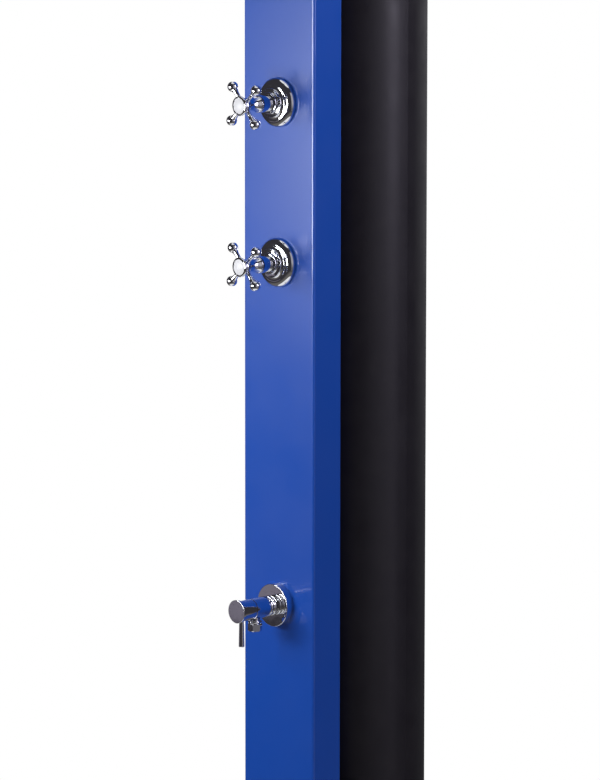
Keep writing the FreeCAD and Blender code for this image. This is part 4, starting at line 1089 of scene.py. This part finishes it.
@dataclass
class Pipework(SubAssembly):
    """Brass fittings and steel pipes inside the profile, and the threaded hose inlet."""

    inlet_z: float = 92.0
    inlet_y: float = -91.0
    wall_x: float = 61.0
    start_x: float = 37.3
    hex_flats: float = 27.0
    hex_length: float = 7.0
    thread_length: float = 16.0
    thread_r: float = 10.48
    thread_depth: float = 1.16
    thread_pitch: float = 1.814
    thread_lead: float = 1.6
    thread_runout: float = 1.4
    bore_r: float = 7.0

    def inlet(self) -> Surface:
        """Hose inlet: a chamfered hexagon and a half-inch thread.

        The thread's radius falls with the distance from the nearest ridge of the helix, which
        lies where length over pitch less turn over a full turn is a whole number.

        Returns:
            The hexagon and the threaded tube.
        """
        lathe = Lathe((0.0, self.inlet_y, self.inlet_z), (-1.0, 0.0, 0.0), 96)
        turn = lathe.angles()[None, :]
        start = self.wall_x + self.hex_length
        end = start + self.thread_length
        length = np.linspace(start, end, 150)[:, None]
        phase = (length / self.thread_pitch - turn / (2 * math.pi)) % 1.0
        ridge = np.clip(np.abs(phase - 0.5) * 2.6 - 0.15, 0.0, 1.0)
        lead = np.clip((end - length) / self.thread_lead, 0.0, 1.0)
        runout = np.clip((length - start) / self.thread_runout, 0.0, 1.0)
        root = self.thread_r - self.thread_depth
        threads = root + self.thread_depth * (1 - ridge * runout) * lead - (1 - lead) * 0.2
        ones = np.ones_like(turn)
        tube_r = np.vstack([
            column(self.bore_r, self.bore_r, self.thread_r, self.thread_r) * ones,
            threads,
            column(self.bore_r + 0.6) * ones,
        ])
        inner = column(end - 0.5, self.start_x, self.start_x, start)
        tube_h = np.vstack([inner, length, column(end)])
        made = lathe.surface(tube_r, tube_h)
        hexagon = hexagon_radius(turn, self.hex_flats)
        corner = self.hex_flats / math.sqrt(3)
        depth = np.array([0.0, 0.0, 0.35, 1.3, 5.7, 6.65, 7.0, 7.0])[:, None]
        limit = np.array([self.thread_r - 0.5, corner - 1.6, corner - 1.1, corner, corner,
                          corner - 1.1, corner - 1.6, self.thread_r - 0.5])[:, None]
        return made.joined(lathe.surface(np.minimum(hexagon, limit), self.wall_x + depth))

    def build(self) -> None:
        """Finishes the fittings and pipes and adds the threaded inlet."""
        self.finish_nodes(
            Wear.BRASS, "inlet_manifold", "foot_tee", "mixer_bar", "outlet_elbow", "arm_elbow",
            "pipe_nuts", "lock_nuts",
        )
        self.finish_nodes(
            Wear.TUBE, "cold_pipe_lower", "cold_pipe_upper", "hot_pipe", "mixed_riser"
        )
        self.finish_nodes(Wear.RUBBER, "port_gaskets")
        inlet = self.add(self.inlet(), "threaded_hose_inlet", Wear.PLATED, "chrome_plate")
        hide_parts("inlet_nipple")


@dataclass
class CrossValve(SubAssembly):
    """Quarter-turn valve with a bell rose and a cross handle."""

    side: str = "upper"
    rim_r: float = 29.9
    sheet: float = 1.6
    edge: float = 2.0
    crown_r: float = 20.5
    crown_out: float = 9.6
    mouth: tuple[float, float] = (17.1, 11.6)
    bead_swell: float = 0.7
    ring: tuple[float, float] = (12.8, 15.2)
    ring_swell: float = 0.5
    bead_length: float = 2.4
    bore_r: float = 10.4
    end_out: float = 18.0

    def swollen(self, start: tuple[float, float], swell: float) -> tuple[Array, Array]:
        """Outline of a rounded ring: its radius swells by half a sine along its length.

        Args:
            start: radius and distance out where the ring begins.
            swell: how far it stands proud.

        Returns:
            Radii and distances out.
        """
        turn = np.linspace(0.0, math.pi, 13)
        return start[0] + swell * np.sin(turn), start[1] + self.bead_length * (1 - np.cos(turn)) / 2

    def rose(self) -> Surface:
        """The bell rose.

        From the rim inwards its outside is a quarter of an ellipse up to the crown, then a
        parabola that rises to the neck, then a bead and a ring; inside it follows about a
        sheet's thickness deeper.

        Returns:
            The closed surface.
        """
        turn = np.linspace(math.pi / 2, 0.0, 30)
        dome_r = self.crown_r + (self.rim_r - self.crown_r) * np.sin(turn)
        dome_out = self.edge + (self.crown_out - self.edge) * np.cos(turn)
        part = np.linspace(0.08, 1.0, 12)
        neck_r = self.crown_r - (self.crown_r - self.mouth[0]) * part
        neck_out = self.crown_out + (self.mouth[1] - self.crown_out) * part ** 2
        bead_r, bead_out = self.swollen(self.mouth, self.bead_swell)
        ring_r, ring_out = self.swollen(self.ring, self.ring_swell)
        inside = self.rim_r - self.sheet
        before = np.array([(inside, 0.0), (self.rim_r, 0.0), (self.rim_r, self.edge / 2)])
        after = np.array([
            (self.ring[0] - 1.3, self.end_out), (self.bore_r, self.end_out), (self.bore_r, 13.4),
            (15.6, 11.4), (18.4, 9.0), (21.5, 7.6), (24.0, 6.6), (26.5, 4.8), (inside, 2.0),
        ])
        step = column(self.ring[0] + self.ring_swell, self.mouth[1] + self.bead_length + 0.6)
        radius = np.concatenate(
            [before[:, 0], dome_r, neck_r, bead_r, step[0], ring_r, after[:, 0]]
        )
        out = np.concatenate(
            [before[:, 1], dome_out, neck_out, bead_out, step[1], ring_out, after[:, 1]]
        )
        low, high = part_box(f"{self.side}_rose")
        middle = (0.0, high.y / MM, (low.z + high.z) / 2 / MM)
        return Lathe(middle, (0.0, -1.0, 0.0), 160).surface(radius[:, None], out[:, None])

    def build(self) -> None:
        """Finishes the valve's pieces and adds the rose."""
        names = [f"{self.side}_{part}" for part in ("sleeve", "cross_handle")]
        self.finish_nodes(Wear.PLATED, *names)
        self.finish_nodes(Wear.BRASS, f"{self.side}_cartridge", f"{self.side}_spindle")
        self.finish_nodes(Wear.SCREW, f"{self.side}_handle_screw")
        self.finish_nodes(Wear.BUTTON, f"{self.side}_index_button")
        rose = self.add(self.rose(), f"{self.side}_bell_rose", Wear.PLATED, "chrome_plate")
        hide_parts(f"{self.side}_rose")


@dataclass
class FootTap(SubAssembly):
    """Foot-wash tap with a thin lever."""

    def build(self) -> None:
        """Finishes the tap's pieces."""
        plated = ("flange", "body", "spout_nut", "handle", "lever")
        self.finish_nodes(Wear.PLATED, *(f"foot_tap_{part}" for part in plated))
        self.finish_nodes(Wear.BRASS, "foot_tap_cartridge", "foot_tap_spindle")


@dataclass
class ShowerHead(SubAssembly):
    """Arm, ball joint and rain head."""

    def build(self) -> None:
        """Finishes the arm and the head."""
        self.finish_nodes(
            Wear.PLATED, "arm_flange", "shower_arm", "ball_joint", "head_nut", "head_shell",
            "head_face_plate",
        )
        self.finish_nodes(Wear.PTFE, "ball_seat")
        self.finish_nodes(Wear.SILICONE, "head_nozzle_mat")


# ------------------------------------------------------------------ studio
def around(azimuth_deg: float, distance: float, z: float) -> Point:
    """Point round the post.

    Args:
        azimuth_deg: turn from straight in front of the post towards its right side.
        distance: level distance from the post's middle, in metres.
        z: height in metres.

    Returns:
        The point, in metres.
    """
    turn = math.radians(azimuth_deg)
    return distance * math.sin(turn), -distance * math.cos(turn), z


@dataclass(frozen=True)
class Softbox:
    """Rectangular lamp that faces the post level."""

    name: str
    azimuth_deg: float
    distance: float
    z: float
    width: float
    height: float
    radiance: float
    tint: str = "#FFFFFF"
    mirrored: bool = True

    def add(self) -> bpy.types.Object:
        """Adds the lamp.

        Its power is the radiance times pi times its area, so a mirror shows it at that radiance.

        Returns:
            The lamp's object, which the camera itself doesn't see.
        """
        lamp = bpy.data.lights.new(self.name, "AREA")
        lamp.shape = "RECTANGLE"
        lamp.size = self.width
        lamp.size_y = self.height
        lamp.energy = self.radiance * math.pi * self.width * self.height
        lamp.color = linear(self.tint)[:3]
        made = linked(self.name, lamp)
        made.location = around(self.azimuth_deg, self.distance, self.z)
        made.rotation_euler = (math.radians(90.0), 0.0, math.radians(self.azimuth_deg))
        made.visible_camera = False
        made.visible_glossy = self.mirrored
        return made


@dataclass(frozen=True)
class Card:
    """Curved cloth that only mirrors and gloss see: what a photographer hangs to shape reflections.

    Its points stand on an arc round the post, from one turn to the other, at two heights.  One
    shade at its foot passes into another between the two fade heights, all in metres.
    """

    name: str
    azimuths_deg: tuple[float, float]
    heights: tuple[float, float]
    shades: tuple[str, str]
    fade: tuple[float, float] = (0.0, 1.0)
    distance: float = 2.35

    def material(self) -> bpy.types.Material:
        """The cloth's shades, which glow evenly.

        Returns:
            The new material.
        """
        made = bpy.data.materials.new(self.name)
        tree = emptied_tree(made)
        place = add_node(tree, "ShaderNodeTexCoord").outputs["Object"]
        height = add_node(tree, "ShaderNodeSeparateXYZ", inputs={0: place}).outputs["Z"]
        low, high = self.fade
        part = add_node(tree, "ShaderNodeMapRange", inputs={0: height, 1: low, 2: high}).outputs[0]
        inputs = {0: part, 6: linear(self.shades[0]), 7: linear(self.shades[1])}
        mixed = add_node(tree, "ShaderNodeMix", {"data_type": "RGBA"}, inputs).outputs[2]
        glow = add_node(tree, "ShaderNodeEmission", inputs={"Color": mixed})
        add_node(tree, "ShaderNodeOutputMaterial", inputs={"Surface": glow.outputs[0]})
        return made

    def add(self) -> bpy.types.Object:
        """Adds the cloth.

        Returns:
            The cloth's object.
        """
        steps = 2 + int(abs(self.azimuths_deg[1] - self.azimuths_deg[0]) / 6)
        turn = np.radians(np.linspace(*self.azimuths_deg, steps))[:, None]
        z = np.array(self.heights)[None, :]
        x, y = self.distance * np.sin(turn), -self.distance * np.cos(turn)
        x, y, z = np.broadcast_arrays(x, y, z)
        points = np.stack([x, y, z], axis=2).reshape(-1, 3)
        mesh = bpy.data.meshes.new(self.name)
        mesh.from_pydata(points.tolist(), [], grid_quads(steps, 2, False, False).tolist())
        mesh.materials.append(self.material())
        made = linked(self.name, mesh)
        made.visible_camera = False
        made.visible_diffuse = False
        made.visible_shadow = False
        made.visible_transmission = False
        made.visible_volume_scatter = False
        return made


@dataclass(frozen=True)
class PhotoCamera:
    """Camera fitted to the photograph: place in metres, turn, tilt and focal length in pixels."""

    place: Point = (4.69318, -4.58731, 1.86333)
    azimuth_deg: float = 46.119
    tilt_deg: float = 8.930
    roll_deg: float = 0.051
    focal_px: float = 5420.9
    frame_px: float = 780.0
    sensor_mm: float = 36.0

    def add(self) -> bpy.types.Object:
        """Adds the camera and makes it the scene's.

        Returns:
            The camera's object.
        """
        lens = bpy.data.cameras.new("photo_camera")
        lens.sensor_width = self.sensor_mm
        lens.lens = self.focal_px / self.frame_px * self.sensor_mm
        lens.clip_end = 100.0
        made = linked("photo_camera", lens)
        made.location = self.place
        aim = Euler((math.radians(90.0 - self.tilt_deg), 0.0, math.radians(self.azimuth_deg)))
        roll = Matrix.Rotation(math.radians(self.roll_deg), 3, "Z")
        made.rotation_euler = (aim.to_matrix() @ roll).to_euler()
        bpy.context.scene.camera = made
        return made


@dataclass
class Studio:
    """White surroundings, a pale floor, soft lamps and the cards that shape the reflections."""

    paint: Paintshop
    floor_r: float = 1.45
    ambient: float = 0.19
    softboxes: tuple[Softbox, ...] = (
        Softbox("front_softbox", -19.0, 1.30, 1.03, 0.90, 0.42, 12.8),
        Softbox("right_upper_strip", 104.0, 1.80, 1.74, 0.40, 1.30, 7.0, "#F0EAFF"),
        Softbox("right_lower_strip", 104.0, 1.80, 0.50, 0.40, 1.18, 0.50, "#F0EAFF"),
        Softbox("right_fill", 80.0, 1.30, 2.10, 0.80, 0.80, 5.8, mirrored=False),
    )
    cards: tuple[Card, ...] = (
        Card("dark_cloth", (-115.0, 158.0), (-2.5, 6.0), ("#6E6A66", "#38363B"), (-0.9, -0.2)),
        Card("grey_cloth", (60.0, 97.0), (-0.3, 3.2), ("#6C6A70", "#B3B0B8"), (0.2, 1.1), 2.30),
        Card("tap_card", (-58.0, -37.0), (0.13, 0.31), ("#7E7884", "#7E7884"), (0.0, 1.0), 2.30),
        Card("back_cloth", (158.0, 215.0), (-2.5, 3.2), ("#505052", "#B0B0B4"), (0.2, 1.2)),
    )

    def world(self) -> None:
        """White world for the camera and mirrors, softer for the light that falls on the post."""
        world = bpy.data.worlds.new("studio_surroundings")
        bpy.context.scene.world = world
        tree = emptied_tree(world)
        path = add_node(tree, "ShaderNodeLightPath")
        seen = path.outputs["Is Camera Ray"]
        for ray in ("Is Glossy Ray", "Is Transmission Ray"):
            seen = calculate(tree, "MAXIMUM", seen, path.outputs[ray])
        inputs = {0: seen, 1: 0.0, 2: 1.0, 3: self.ambient, 4: 1.0}
        level = add_node(tree, "ShaderNodeMapRange", inputs=inputs).outputs[0]
        glow = {"Color": (1.0, 1.0, 1.0, 1.0), "Strength": level}
        white = add_node(tree, "ShaderNodeBackground", inputs=glow)
        add_node(tree, "ShaderNodeOutputWorld", inputs={"Surface": white.outputs[0]})

    def floor(self) -> None:
        """Round floor: rings of points whose radius grows evenly."""
        lathe = Lathe((0.0, 0.0, 0.0), (0.0, 0.0, 1.0), 96)
        radius = np.linspace(0.0, self.floor_r / MM, 12)[:, None]
        made = lathe.surface(radius, np.zeros_like(radius), ring=False).piece("floor")
        self.paint.dress(made, Wear.FLOOR)
        made.visible_glossy = False

    def build(self) -> None:
        """Sets the look and adds everything round the post."""
        scene = bpy.context.scene
        scene.view_settings.view_transform = "Standard"
        self.world()
        self.floor()
        for softbox in self.softboxes:
            softbox.add()
        for card in self.cards:
            card.add()
        PhotoCamera().add()


def main() -> None:
    """Builds the post's sub-assemblies in order and reports each piece."""
    logging.basicConfig(level=logging.INFO, format="%(name)s: %(message)s")
    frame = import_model()
    paint = Paintshop()
    Studio(paint).build()
    Base(frame, paint).build()
    Profile(frame, paint).build()
    Tank(frame, paint).build()
    Pipework(frame, paint).build()
    CrossValve(frame, paint, side="upper").build()
    CrossValve(frame, paint, side="lower").build()
    FootTap(frame, paint).build()
    ShowerHead(frame, paint).build()
    log.info("sizes written")


if __name__ == "__main__":
    main()
